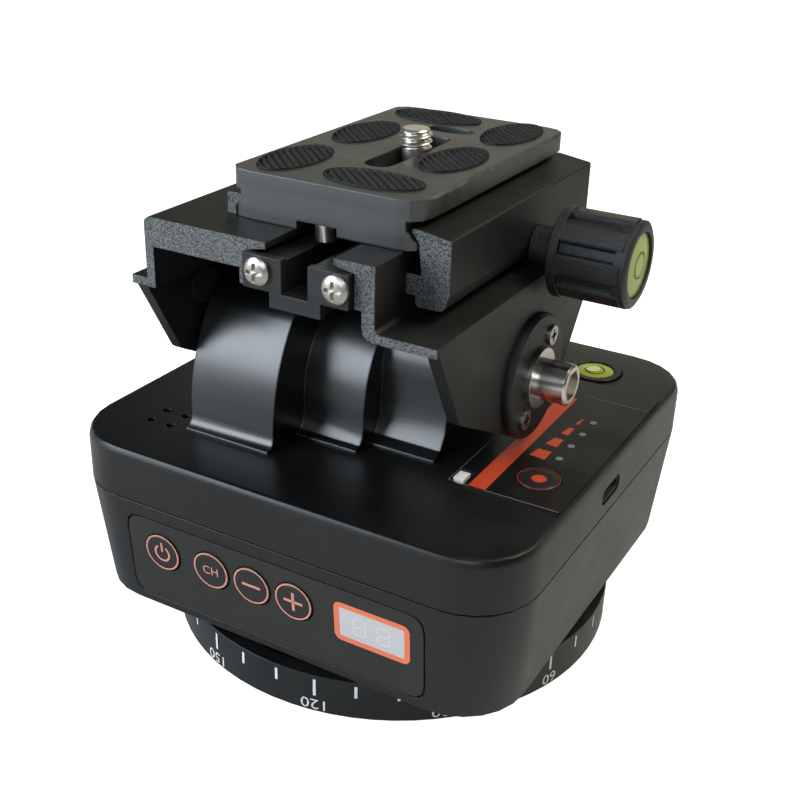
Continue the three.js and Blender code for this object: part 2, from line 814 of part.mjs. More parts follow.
function topCover() {
  const wide = half(bodyWidth) - shellWall;
  const deep = half(bodyDepth) - shellWall;
  const inner = loft([
    housingRing(wide, deep, bodyCornerRadius - shellWall, partingHeight - overrun),
    housingRing(wide, deep, bodyCornerRadius - shellWall, coverInnerTop),
  ]);
  const above = coverTopHeight + overrun;
  const driveOpening = box(
    drumLeft + 2 * drumWall, drumThreeRight - 2 * drumWall,
    tiltAxisY - motorRadius - gap, tiltAxisY + motorRadius + gap, coverInnerTop - overrun, above);
  const levelWell = disc(levelRadius + gap, coverTopHeight - levelDepth, above).translate(levelX, levelY, 0);
  const levelBottom = coverTopHeight - levelDepth - levelFloor;
  const levelBoss = disc(levelRadius + gap + shellWall, levelBottom, coverTopHeight)
    .translate(levelX, levelY, 0);
  const recordHole = disc(recordRadius + gap, coverInnerTop - overrun, above).translate(recordX, recordY, 0);
  const switchWindow = box(
    switchX - half(switchSlotWidth), switchX + half(switchSlotWidth),
    switchSlotFront, switchSlotRear, coverInnerTop - overrun, above);
  const shell = join(cut(coverOuter(), inner), levelBoss);
  const usbWindow = usbOpening(
    usbWidth + 2 * gap, usbTall + 2 * gap, half(bodyWidth) - shellWall - overrun, half(bodyWidth) + overrun);
  return cut(shell, driveOpening, levelWell, recordHole, switchWindow, usbWindow, ...soundHoles());
}

// One stepped drum seen from the side, from the tilt axis, between the cover top and its crown
function drumOutline({ reach, sweep, drop, shoulder, crown, flareOut, flareUp, below = 0 }) {
  const base = coverTopHeight - tiltAxisHeight - below;
  const centre = sweep - reach;
  const shoulderAngle = Math.asin((shoulder + drop) / sweep);
  const shoulderY = centre - sweep * Math.cos(shoulderAngle);
  const tangentRun = ((crown - shoulder) * Math.sin(shoulderAngle)) / Math.cos(shoulderAngle);
  const front = [[-reach - flareOut, base]];
  if (flareOut) {
    for (let step = 0; step <= edgeSteps; step += 1) {
      const angle = (step / edgeSteps) * (Math.PI / 2);
      front.push([
        -reach - flareOut * (1 - Math.sin(angle)),
        base + drumToe + flareUp * (1 - Math.cos(angle)),
      ]);
    }
  }
  for (let step = 0; step <= drumSteps; step += 1) {
    const angle = shoulderAngle * (step / drumSteps);
    front.push([centre - sweep * Math.cos(angle), -drop + sweep * Math.sin(angle)]);
  }
  const roof = new THREE.QuadraticBezierCurve(
    new THREE.Vector2(shoulderY, shoulder),
    new THREE.Vector2(Math.min(shoulderY + tangentRun, 0), crown),
    new THREE.Vector2(0, crown));
  roof.getPoints(edgeSteps).slice(1).forEach((p) => front.push([p.x, p.y]));
  const rear = front.slice(0, -1).map(([y, z]) => [-y, z]).reverse();
  return outline([...front, ...rear]);
}

const drums = [
  { left: drumLeft, right: drumOneRight, reach: drumOneReach, sweep: drumOneSweep, drop: drumOneDrop,
    shoulder: drumOneShoulder, crown: drumOneCrown, flareOut: drumOneFlareOut, flareUp: drumOneFlareUp },
  { left: drumOneRight, right: drumTwoRight, reach: drumTwoReach, sweep: drumTwoSweep, drop: drumTwoDrop,
    shoulder: drumTwoShoulder, crown: drumTwoCrown, flareOut: drumTwoFlareOut, flareUp: drumTwoFlareUp },
  { left: drumTwoRight, right: drumThreeRight, reach: drumThreeReach, sweep: drumThreeSweep,
    drop: drumThreeDrop, shoulder: drumThreeShoulder, crown: drumThreeCrown,
    flareOut: drumThreeFlareOut, flareUp: drumThreeFlareUp },
];

function tiltHousing() {
  const outer = drums.map((drum, i) =>
    alongX(drumOutline(drum), drum.left - (i ? overrun : 0), drum.right));
  const hollow = drums.map((drum) => {
    const inside = {
      ...drum,
      reach: drum.reach - drumWall,
      sweep: drum.sweep - drumWall,
      shoulder: drum.shoulder - half(drumWall),
      crown: drum.crown - drumWall,
      flareOut: 0,
      below: overrun,
    };
    return alongX(drumOutline(inside), drumLeft + drumWall, drum.right - drumWall);
  });
  const shaftHole = turnedX([
    [0, drumTwoRight], [tiltShaftRadius + gap, drumTwoRight],
    [tiltShaftRadius + gap, drumThreeRight + overrun], [0, drumThreeRight + overrun],
  ]);
  return cut(join(...outer), ...hollow, shaftHole);
}

// Motor with a stepped cap, its output end at height zero and its body above
const motor = (length) => turned([
  [0, 0], [motorRadius - motorCapInset, 0], [motorRadius, motorCapInset],
  [motorRadius, length - motorCapLength], [motorRadius - motorCapInset, length - motorCapLength],
  [motorRadius - motorCapInset, length], [0, length],
], smallRoundSteps);

function batteryPack() {
  const section = roundedBox(
    batteryWidth, batteryHeight, batteryRound, batteryX, housingFloor + half(batteryHeight));
  return alongY(section, -half(batteryLength), half(batteryLength));
}

function usbSocket() {
  const end = half(bodyWidth) - gap;
  const start = end - usbLength;
  const shell = cut(
    usbOpening(usbWidth, usbTall, start, end),
    usbOpening(usbWidth - 2 * usbWall, usbTall - 2 * usbWall, start + usbWall * 2, end + overrun));
  const tongue = alongX(
    roundedBox(usbTongueWidth, usbTongueThickness, usbWall, usbY, usbHeight),
    start + usbWall, end - usbWall * 2);
  return join(shell, tongue);
}

const head = new THREE.Group();
piece(head, 'lower_housing', lowerHousing(), 'housing');
piece(head, 'top_cover', topCover(), 'housing');
piece(head, 'tilt_housing', tiltHousing(), 'drums').position.set(0, tiltAxisY, tiltAxisHeight);
piece(head, 'pan_bearing',
  ring(socketRadius + slidingGap, bearingOuter, housingUnderside, bearingTop), 'steel');
piece(head, 'pan_motor', motor(panMotorLength), 'steel').position.set(0, panGearCentre, housingFloor);
piece(head, 'battery_pack', batteryPack(), 'orange');
piece(head, 'usb_socket', usbSocket(), 'steel');

// Pan pinion on the motor shaft, in mesh behind the fixed gear
const panPinion = new THREE.Group();
panPinion.position.set(0, panGearCentre, 0);
piece(panPinion, 'pan_pinion', join(
  alongZ(gearOutline(panPinionTeeth, panToothSize, -Math.PI / 2 - Math.PI / panPinionTeeth),
    dialPocketFloor + gap, dialPocketFloor + panGearWidth),
  disc(motorShaftRadius, dialPocketFloor + gap, housingFloor - slidingGap, smallRoundSteps)), 'brass');
head.add(panPinion);

// Tilt motor and pinion, straight below the tilt shaft
const tiltGearCentre = half((tiltGearTeeth + tiltPinionTeeth) * tiltToothSize);
const tiltDrive = new THREE.Group();
tiltDrive.position.set(0, tiltAxisY, tiltAxisHeight - tiltGearCentre);
piece(tiltDrive, 'tilt_motor', motor(tiltMotorLength).rotateY(-Math.PI / 2), 'steel')
  .position.set(tiltGearLeft - 2 * gap, 0, 0);
piece(tiltDrive, 'tilt_pinion', alongX(
  gearOutline(tiltPinionTeeth, tiltToothSize, Math.PI / 2 - Math.PI / tiltPinionTeeth),
  tiltGearLeft - gap, tiltGearLeft + tiltGearWidth), 'brass');
head.add(tiltDrive);

// Left pivot bolt, screwed into the drum and passing through the left leg
const leftPivotSeat = -legOuter - gap;
piece(head, 'left_pivot', turnedX([
  [0, leftPivotSeat - leftPivotHeadThickness],
  [leftPivotHeadRadius, leftPivotSeat - leftPivotHeadThickness],
  [leftPivotHeadRadius, leftPivotSeat], [leftPivotRadius, leftPivotSeat],
  [leftPivotRadius, drumLeft], [0, drumLeft],
], smallRoundSteps), 'steel').position.set(0, tiltAxisY, tiltAxisHeight);

// Control panel, leaning with the front face: across, inwards and up
const panel = new THREE.Group();
panel.position.set(0, panelFaceY, panelCentreHeight);
panel.rotation.x = panelLean;
piece(panel, 'control_panel', cut(
  alongY(roundedBox(2 * panelHalfWidth, panelTall, panelCorner), 0, panelThickness),
  displayHole(-overrun, panelThickness + overrun),
  ...buttonHoles(-overrun, panelThickness + overrun)), 'panel');
piece(panel, 'display_window', alongY(
  roundedBox(displayWidth, displayTall, gap, displayX, panelUp(displayHeight)),
  0, displayThickness), 'display');
piece(panel, 'control_board', alongY(
  roundedBox(2 * boardHalfWidth, 2 * boardHalfHeight, gap),
  boardFront, boardFront + boardThickness), 'board');

function panelButton() {
  const flange = buttonFlangeRadius;
  const flangeFront = shellWall + gap;
  const rear = flangeFront + buttonFlangeThickness;
  return turnedY([
    [0, -buttonProud], [buttonRadius - buttonRound, -buttonProud], [buttonRadius, buttonRound - buttonProud],
    [buttonRadius, flangeFront], [flange, flangeFront], [flange, rear], [0, rear],
  ], smallRoundSteps);
}

panelButtons.forEach(([name, x]) => {
  piece(panel, name, panelButton(), 'panel').position.set(x, 0, panelUp(buttonHeight));
});
head.add(panel);

// What lies on the cover: label, record button, switch and level

function topLabel() {
  const centreX = half(labelLeft + labelRight);
  const centreY = half(labelFront + labelRear);
  const sheet = alongZ(
    roundedBox(labelRight - labelLeft, labelRear - labelFront, labelCorner, centreX, centreY),
    coverTopHeight, coverTopHeight + labelThickness);
  const above = coverTopHeight + overrun;
  const below = coverTopHeight - overrun;
  const window = box(labelLeft - overrun, switchX + half(switchSlotWidth) + gap,
    labelFront - overrun, switchSlotRear + gap, below, above);
  return cut(sheet, window, disc(recordRadius + gap, below, above).translate(recordX, recordY, 0));
}

function recordButton() {
  const top = coverTopHeight + labelThickness + recordProud;
  const flange = recordRadius + gap + buttonFlange;
  return turned([
    [0, coverInnerTop - gap - buttonFlangeThickness], [flange, coverInnerTop - gap - buttonFlangeThickness],
    [flange, coverInnerTop - gap], [recordRadius, coverInnerTop - gap],
    [recordRadius, top - buttonRound], [recordRadius - buttonRound, top], [0, top],
  ], smallRoundSteps).translate(recordX, recordY, 0);
}

function modeSwitch() {
  const nub = box(switchX - half(switchNubWidth), switchX + half(switchNubWidth),
    switchY - half(switchNubLength), switchY + half(switchNubLength),
    coverInnerTop - overrun, coverTopHeight + switchProud);
  const slide = box(
    switchX - half(switchSlotWidth) - overrun, switchX + half(switchSlotWidth) + overrun,
    switchSlotFront - overrun, switchSlotRear + switchNubWidth,
    coverInnerTop - switchDepth, coverInnerTop - gap);
  return join(nub, slide);
}

piece(head, 'top_label', topLabel(), 'panel');
piece(head, 'record_button', recordButton(), 'panel');
piece(head, 'mode_switch', modeSwitch(), 'white');
const cupBottom = coverTopHeight - levelDepth;
const cupTop = coverTopHeight + levelProud;
piece(head, 'level_cup', turned([
  [0, cupBottom], [levelRadius, cupBottom], [levelRadius, cupTop], [levelRadius - levelWall, cupTop],
  [levelRadius - levelWall, cupBottom + levelFloor], [0, cupBottom + levelFloor],
]).translate(levelX, levelY, 0), 'panel');
piece(head, 'level_vial', turned([
  [0, cupBottom + levelFloor], [levelRadius - levelWall - slidingGap, cupBottom + levelFloor],
  [levelRadius - levelWall - slidingGap, cupTop - levelDome],
  [half(levelRadius), cupTop - half(levelDome)], [0, cupTop],
], smallRoundSteps).translate(levelX, levelY, 0), 'vial');

// Bracket, seen from the front: two legs, two shelves and the hat between them

function hatOutline() {
  const top = bracketTop;
  const under = bracketTop - plateThickness;
  const shelfUnder = shelfTop - shelfThickness;
  const cavityLeft = slotCentreX - cavityHalfWidth;
  const cavityRight = slotCentreX + cavityHalfWidth;
  const slotLeft = slotCentreX - slotHalfWidth;
  const slotRight = slotCentreX + slotHalfWidth;
  const lip = top - lipThickness;
  const lowerInner = hatRight - hatRightLowerWall;
  return [
    [-legOuter, shelfUnder], [-hatLeft + hatWall, shelfUnder], [-hatLeft + hatWall, under],
    [cavityLeft - ribThickness, under], [cavityLeft - ribThickness, top - ribDrop],
    [cavityLeft, top - ribDrop], [cavityLeft, lip], [slotLeft, lip + lipTaper], [slotLeft, top],
    [-hatLeft, top, hatCornerRound], [-hatLeft, shelfTop], [-legOuter, shelfTop],
    null,
    [slotRight, top], [slotRight, lip + lipTaper], [cavityRight, lip], [cavityRight, top - hatRightStep],
    [lowerInner, top - hatRightStep], [lowerInner, shelfUnder, hatRightLowerWall],
    [legOuter, shelfUnder], [legOuter, shelfTop], [hatRight, shelfTop, hatCornerRound],
    [hatRight, top],
  ];
}

const footTangent = (reach, rise, side) => {
  const distance = Math.hypot(reach, rise);
  return Math.atan2(rise, reach) + side * Math.acos(legFootRadius / distance);
};

function legOutline() {
  const frontAngle = footTangent(-legNoseReach, legNoseHeight, 1);
  const rearAngle = footTangent(legHeelReach, -legHeelDrop, -1);
  const points = [[-bracketFront, shelfTop], [-legNoseReach, legNoseHeight, legNoseRound]];
  const from = frontAngle > 0 ? frontAngle - 2 * Math.PI : frontAngle;
  for (let step = 0; step <= drumSteps; step += 1) {
    const angle = from + (rearAngle - from) * (step / drumSteps);
    points.push([legFootRadius * Math.cos(angle), legFootRadius * Math.sin(angle)]);
  }
  points.push([legHeelReach, -legHeelDrop, legNoseRound], [bracketRear, shelfTop]);
  return outline(points);
}

// The part of a jaw that grips the release plate, as (distance from the plate's centre, height)
const gripPoints = (outer) => [
  [jawRootReach, bracketTop], [jawRootReach, bracketTop + jawRootRise],
  [jawTipReach, bracketTop + jawTipRise], [jawTipReach, bracketTop + jawTipRise + jawTipFlat],
  [jawTipReach + jawTipFlat, bracketTop + jawTopRise], [outer, bracketTop + jawTopRise, jawTipFlat],
  [outer, bracketTop],
];

const cavityLeft = slotCentreX - cavityHalfWidth;
const cavityRight = slotCentreX + cavityHalfWidth;
const keelBottom = bracketTop - keelBottomDrop;

// The web that joins the two sides of the bracket below the slide channel
function bridge() {
  const outerLeft = cavityLeft - ribThickness;
  const under = bracketTop - plateThickness;
  const top = keelBottom - gap;
  return alongY(outline([
    [outerLeft, under], [outerLeft, top - bridgeThickness], [hatRight - overrun, top - bridgeThickness],
    [hatRight - overrun, top], [cavityLeft, top], [cavityLeft, under],
  ]), -bridgeHalfLength, bridgeHalfLength);
}

const sideTube = (radius, from, to) =>
  turnedX([[0, from], [radius, from], [radius, to], [0, to]], smallRoundSteps);

function bracket() {
  const points = hatOutline();
  const split = points.indexOf(null);
  const sides = [points.slice(0, split), points.slice(split + 1)].map((side) =>
    alongY(outline(side), -bracketFront, bracketRear));
  const legs = [-1, 1].map((side) => alongX(
    legOutline(), Math.min(side * legOuter, side * legInner), Math.max(side * legOuter, side * legInner)));
  const ridge = alongY(outline(gripPoints(jawRootReach + ridgeThickness).map(([reach, z, round]) =>
    [plateCentreX - reach, z, round])), -jawFront, jawRear);
  const ridgeRoot = box(plateCentreX - jawRootReach - ridgeThickness, plateCentreX - jawRootReach,
    -jawFront, jawRear, bracketTop - overrun, bracketTop + overrun);
  const shaftHole = sideTube(tiltShaftRadius + gap, -legOuter - overrun, legOuter + overrun);
  const screwHole = sideTube(screwThreadRadius + slidingGap, cavityRight - overrun, hatRight + overrun)
    .translate(0, screwSetback, screwHeight);
  const tonguePocket = box(tongueLeft - gap, hatRight + overrun, -jawFront - gap, jawRear + gap,
    bracketTop - tongueBottomDrop - gap, bracketTop - tongueTopDrop + gap);
  return cut(join(...sides, bridge(), ridge, ridgeRoot, ...legs), shaftHole, screwHole, tonguePocket);
}

const tilting = new THREE.Group();
tilting.position.set(0, tiltAxisY, tiltAxisHeight);
piece(tilting, 'bracket', bracket(), 'anodised');
const shaftEnd = legOuter + flangeThickness - slidingGap;
piece(tilting, 'tilt_shaft', cut(
  turnedX([[0, tiltGearLeft - 2 * overrun], [tiltShaftRadius, tiltGearLeft - 2 * overrun],
    [tiltShaftRadius, shaftEnd], [0, shaftEnd]], smallRoundSteps),
  sideTube(pivotShankRadius + slidingGap, shaftEnd - pivotShankLength, shaftEnd + overrun)), 'steel');
piece(tilting, 'tilt_gear', alongX(
  withHole(gearOutline(tiltGearTeeth, tiltToothSize, -Math.PI / 2), tiltShaftRadius + slidingGap),
  tiltGearLeft, tiltGearLeft + tiltGearWidth), 'brass');

// Flange, washer and screws, on the outside of the right leg

function flangePlate() {
  const face = legOuter + flangeThickness;
  const round = flangeEdgeRound;
  const plate = turnedX([
    [0, legOuter], [flangeRadius, legOuter], [flangeRadius, face - round],
    [flangeRadius - round, face], [0, face],
  ]);
  const screwHoles = [-1, 1].map((side) =>
    sideTube(flangeScrewRadius + slidingGap, legOuter - overrun, face + overrun)
      .translate(0, side * flangeScrewY, side * flangeScrewZ));
  const shaftHole = sideTube(tiltShaftRadius + slidingGap, legOuter - overrun, face + overrun);
  return cut(plate, ...screwHoles, shaftHole);
}

// Cross-recessed screw along X, its head rounded at the edge, from the plane that its head rests on
function crossScrew(headRadius, headHeight, shankRadius, length) {
  const head = turnedX([
    [0, -length], [shankRadius, -length], [shankRadius, 0], [headRadius, 0],
    [headRadius, half(headHeight)], [headRadius - endScrewHeadRound, headHeight - half(endScrewHeadRound)],
    [half(headRadius), headHeight], [0, headHeight],
  ], smallRoundSteps);
  const reach = half(headRadius) + half(crossSlotWidth);
  const wide = half(crossSlotWidth);
  const floor = headHeight - crossSlotDepth;
  const above = headHeight + overrun;
  return cut(
    head,
    box(floor, above, -reach, reach, -wide, wide),
    box(floor, above, -wide, wide, -reach, reach));
}

piece(tilting, 'flange_plate', flangePlate(), 'anodised');
[-1, 1].forEach((side) => {
  const name = side > 0 ? 'flange_screw_upper' : 'flange_screw_lower';
  const end = legOuter + flangeThickness + flangeScrewHead;
  piece(tilting, name, sideTube(flangeScrewRadius, legOuter, end), 'chrome')
    .position.set(0, side * flangeScrewY, side * flangeScrewZ);
});
const washerLeft = legOuter + flangeThickness;
piece(tilting, 'pivot_washer', turnedX([
  [pivotShankRadius + slidingGap, washerLeft], [washerRadius, washerLeft],
  [washerRadius, washerLeft + washerThickness], [pivotShankRadius + slidingGap, washerLeft + washerThickness],
  [pivotShankRadius + slidingGap, washerLeft],
], roundSteps), 'steel');

function pivotScrew() {
  const seat = washerLeft + washerThickness;
  const end = seat + pivotHeadLength;
  const body = turnedX([
    [0, seat - pivotShankLength], [pivotShankRadius, seat - pivotShankLength], [pivotShankRadius, seat],
    [pivotHeadRadius, seat], [pivotHeadRadius, end - pivotHeadChamfer],
    [pivotHeadRadius - pivotHeadChamfer, end], [0, end],
  ], roundSteps);
  return cut(body, alongX(hexagon(pivotHexRadius), end - pivotHexDepth, end + overrun));
}

piece(tilting, 'pivot_screw', pivotScrew(), 'steel');
piece(tilting, 'travel_stop', turnedX([
  [0, -legInner], [travelStopRadius, -legInner], [travelStopRadius, travelStopThickness - legInner],
  [0, travelStopThickness - legInner],
], smallRoundSteps), 'anodised').position.set(0, -travelStopY, travelStopZ);

// Slide channel in the slot of the bracket, with an end plate and two screws at each end

function channelOutline(margin, topDrop) {
  const wing = channelHalfWidth + half(margin);
  const keel = keelHalfWidth + margin;
  const top = bracketTop - topDrop;
  const wingBottom = bracketTop - wingBottomDrop - margin;
  const grooveFloor = bracketTop - wingBottomDrop - endPlateMargin;
  return outline([
    [-wing, wingBottom], [-keel, wingBottom], [-keel, keelBottom - margin], [keel, keelBottom - margin],
    [keel, wingBottom], [wing, wingBottom], [wing, top], [grooveHalfWidth, top],
    [grooveHalfWidth, grooveFloor], [-grooveHalfWidth, grooveFloor], [-grooveHalfWidth, top], [-wing, top],
  ].map(([x, z]) => [x + slotCentreX, z]));
}

const endScrewPlaces = [-1, 1].flatMap((end) => [-1, 1].map((side) => ({
  name: `end_screw_${end < 0 ? 'front' : 'rear'}_${side < 0 ? 'left' : 'right'}`,
  end,
  x: slotCentreX + endScrewShift + side * endScrewReach,
  z: bracketTop - endScrewDrop,
  y: end < 0 ? -bracketFront - endPlateThickness : bracketRear + endPlateThickness,
})));

const endScrewHoles = () => endScrewPlaces.map(({ x, y, z, end }) => {
  const inner = y - end * (endScrewLength + gap);
  const outer = y + end * overrun;
  const radius = endScrewShankRadius + slidingGap;
  return turnedY([
    [0, Math.min(inner, outer)], [radius, Math.min(inner, outer)],
    [radius, Math.max(inner, outer)], [0, Math.max(inner, outer)],
  ], cornerSteps * 2).translate(x, 0, z);
});

const endPlate = (from, to) => cut(
  alongY(channelOutline(endPlateMargin, channelTopDrop - 2 * endPlateMargin), from, to),
  ...endScrewHoles());

piece(tilting, 'slide_channel', cut(
  alongY(channelOutline(0, channelTopDrop), -bracketFront, bracketRear), ...endScrewHoles()), 'anodised');
piece(tilting, 'end_plate_front',
  endPlate(-bracketFront - endPlateThickness, -bracketFront), 'brushed');
piece(tilting, 'end_plate_rear',
  endPlate(bracketRear, bracketRear + endPlateThickness), 'brushed');
endScrewPlaces.forEach(({ name, x, y, z, end }) => {
  const screw = crossScrew(endScrewHeadRadius, endScrewHeadHeight, endScrewShankRadius, endScrewLength);
  piece(tilting, name, screw.rotateZ((end * Math.PI) / 2), 'chrome').position.set(x, y, z);
});

// Clamp jaw, drawn along X by its screw

function clampJaw() {
  const grip = gripPoints(jawRootReach).slice(1, -2)
    .map(([reach, z]) => [plateCentreX + reach, z]).reverse();
  const bottom = bracketTop - jawBlockDrop;
  const outer = jawBlockOuter;
  const block = alongY(outline([
    [tongueLeft, bracketTop - tongueBottomDrop], [jawBlockInner - overrun, bracketTop - tongueBottomDrop],
    [jawBlockInner - overrun, bottom, half(jawBlockRound)], [outer - overrun, bottom, jawBlockRound],
    [outer, bottom + 2 * jawBlockRound, jawBlockRound],
    [outer, bracketTop + jawTopRise - overrun, jawTipFlat], ...grip,
    [jawBlockInner, bracketTop - tongueTopDrop], [tongueLeft, bracketTop - tongueTopDrop],
  ]), -jawFront, jawRear);
  return cut(block, sideTube(screwThreadRadius + slidingGap, tongueLeft - overrun, outer + overrun)
    .translate(0, screwSetback, screwHeight));
}

const jaw = new THREE.Group();
piece(jaw, 'clamp_jaw', clampJaw(), 'anodised');
tilting.add(jaw);

// Knob and clamp screw, turning about X

function clampKnob() {
  const neckLeft = jawBlockOuter + gap;
  const ribsFrom = knobRear + half(knobRearRim);
  const ribsTo = knobEnd - half(knobEndRim);
  const body = turnedX([
    [0, neckLeft], [knobNeckRadius, neckLeft], [knobNeckRadius, knobRear],
    [knobRimRadius - knobRibRound, knobRear], [knobRimRadius, knobRear + half(knobRibRound)],
    [knobRimRadius, knobRear + knobRearRim],
    [knobCoreRadius, knobRear + knobRearRim], [knobCoreRadius, knobEnd - knobEndRim],
    [knobEndRadius, knobEnd - knobEndRim], [knobEndRadius, knobEnd - half(knobRibRound)],
    [knobEndRadius - knobRibRound, knobEnd], [vialRadius + slidingGap, knobEnd],
    [vialRadius + slidingGap, knobEnd - vialDepth], [0, knobEnd - vialDepth],
  ]);
  const ribMiddle = half(knobCoreRadius + knobRibRadius) - half(overrun);
  const ribTall = knobRibRadius - knobCoreRadius + overrun;
  const ribs = Array.from({ length: knobRibs }, (_, i) => alongX(
    roundedBox(knobRibWidth, ribTall, knobRibRound, 0, ribMiddle), ribsFrom, ribsTo)
    .rotateX((i * 2 * Math.PI) / knobRibs));
  const screwHole = sideTube(screwThreadRadius + slidingGap, neckLeft - overrun, screwEnd + gap);
  return cut(join(body, ...ribs), screwHole);
}

const knob = new THREE.Group();
knob.position.set(0, screwSetback, screwHeight);
piece(knob, 'clamp_screw', sideTube(screwThreadRadius, screwTip, screwEnd), 'steel');
piece(knob, 'clamp_knob', clampKnob(), 'rubber');
piece(knob, 'knob_vial', turnedX([
  [0, knobEnd - vialDepth], [vialRadius, knobEnd - vialDepth], [vialRadius, knobEnd - vialDome],
  [half(vialRadius), knobEnd - half(half(vialDome))], [0, knobEnd],
], roundSteps), 'vial');
jaw.add(knob);

// Release plate with its six pads and two stop pins, held by the jaws

const padKinds = [
  { name: 'side', shares: sidePadShares, reachX: padHalfWidth, reachY: padHalfLength },
  { name: 'mid', shares: midPadShares, reachX: padHalfWidth, reachY: padHalfLength },
  { name: 'end', shares: endPadShares, reachX: padHalfLength, reachY: padHalfWidth },
];
const pads = padKinds.flatMap(({ name, shares, reachX, reachY }) => [1, -1].map((side) => ({
  name: `grip_pad_${name}_${side > 0 ? 'a' : 'b'}`,
  x: plateCentreX - padShiftX + side * shares[0] * releaseHalfWidth,
  y: padShiftY + side * shares[1] * releaseRear,
  reachX,
  reachY,
})));
const releaseTop = releaseBottom + releaseThickness;

function oval(x, y, reachX, reachY, from, to) {
  const shape = new THREE.Shape();
  shape.absellipse(x, y, reachX, reachY, 0, 2 * Math.PI);
  return alongZ(shape, from, to);
}

const padBody = ({ x, y, reachX, reachY }, growth, from, to) =>
  oval(x, y, reachX + growth, reachY + growth, from, to);

function releasePlate() {
  const profile = [
    [footHalfWidth, 0], [footHalfWidth, footRise], [waistHalfWidth, waistRise], [waistHalfWidth, slabRise],
    [releaseHalfWidth, slabRise], [releaseHalfWidth, releaseThickness - releaseTopChamfer],
    [releaseHalfWidth - releaseTopChamfer, releaseThickness],
  ];
  const mirrored = profile.map(([x, z]) => [-x, z]).reverse();
  const section = [...profile, ...mirrored].map(([x, z]) => [x + plateCentreX, z + releaseBottom]);
  const bar = alongY(outline(section), -releaseFront, releaseRear);
  const plan = alongZ(
    roundedBox(2 * releaseHalfWidth, releaseFront + releaseRear, releaseCorner, plateCentreX,
      half(releaseRear - releaseFront)),
    releaseBottom - overrun, releaseTop + overrun);
  const rounded = asGeometry(solid(bar).intersect(solid(plan)));
  const slot = (halfWidth, growth, from, to) => alongZ(
    roundedBox(2 * halfWidth, screwSlotFront + screwSlotRear + 2 * growth, halfWidth, cameraScrewX,
      half(screwSlotRear - screwSlotFront)), from, to);
  const stepGrowth = screwStepHalfWidth - screwSlotHalfWidth;
  const twistSlot = oval(plateCentreX, twistSlotY, twistSlotHalfLength, twistSlotHalfWidth,
    releaseBottom - overrun, releaseTop + overrun);
  const grooves = [-1, 1].map((end) => {
    const open = end * (releaseRear + overrun);
    const inner = end * (releaseRear - pinGrooveLength);
    return box(pinGrooveX - pinGrooveHalfWidth, pinGrooveX + pinGrooveHalfWidth,
      Math.min(open, inner), Math.max(open, inner), releaseBottom - overrun, releaseBottom + pinGrooveDepth);
  });
  return cut(
    rounded,
    slot(screwSlotHalfWidth, 0, releaseBottom - overrun, releaseTop + overrun),
    slot(screwStepHalfWidth, stepGrowth, releaseBottom - overrun, releaseBottom + screwStepDepth),
    twistSlot,
    ...grooves,
    ...pads.map((pad) => padBody(pad, slidingGap, releaseTop - padDepth, releaseTop + overrun)),
  );
}

const release = new THREE.Group();
piece(release, 'release_plate', releasePlate(), 'brushed');
pads.forEach((pad) => {
  piece(release, pad.name, padBody(pad, 0, releaseTop - padDepth, releaseTop + padProud), 'rubber');
});
[-1, 1].forEach((end) => {
  const name = end < 0 ? 'stop_pin_front' : 'stop_pin_rear';
  piece(release, name,
    disc(stopPinRadius, bracketTop - stopPinDrop, releaseBottom + pinGrooveDepth, smallRoundSteps), 'chrome')
    .position.set(stopPinX, end * stopPinReach, 0);
});
tilting.add(release);

// Camera screw in its slot, with the retainer that slides with it

const stepCeiling = releaseBottom + screwStepDepth;
const retainerBottom = stepCeiling - retainerThickness;

function cameraScrew() {
  const headBottom = retainerBottom - cameraScrewHeadHeight;
  const neckTop = releaseTop + cameraScrewNeckRise;
  const top = releaseTop + cameraScrewRise;
  const body = turned([
    [0, headBottom], [cameraScrewHeadRadius, headBottom], [cameraScrewHeadRadius, retainerBottom],
    [cameraScrewNeck, retainerBottom], [cameraScrewNeck, neckTop], [cameraScrewRadius, neckTop],
    [cameraScrewRadius, top - cameraScrewTip], [cameraScrewRadius - cameraScrewTip, top], [0, top],
  ]);
  const wide = half(coinSlotWidth);
  const reach = cameraScrewHeadRadius + overrun;
  return cut(body, box(-reach, reach, -wide, wide, headBottom - overrun, headBottom + coinSlotDepth));
}

const screwCarrier = new THREE.Group();
screwCarrier.position.set(cameraScrewX, 0, 0);
piece(screwCarrier, 'screw_retainer',
  ring(cameraScrewNeck + slidingGap, retainerRadius, retainerBottom, stepCeiling, smallRoundSteps), 'steel');
piece(screwCarrier, 'camera_screw', cameraScrew(), 'chrome');
release.add(screwCarrier);

head.add(tilting);

const panTiltHead = new THREE.Group();
panTiltHead.name = 'pan_tilt_head';
panTiltHead.add(base, head);

export default panTiltHead;
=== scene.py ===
# %% [markdown]
# # A remote pan tilt head
# This lesson dresses a small motorised camera head: a square housing on a round dial, three stepped
# drums, a folded aluminium bracket and a quick-release clamp. The solids come from CAD with their real
# sizes, so nothing is moved here. We give each surface its finish, print the scales and symbols, cut the
# screw's thread and light the result like a product photograph.

# %% Load the solids
import math
import bmesh
import bpy
from mathutils import Matrix, Vector


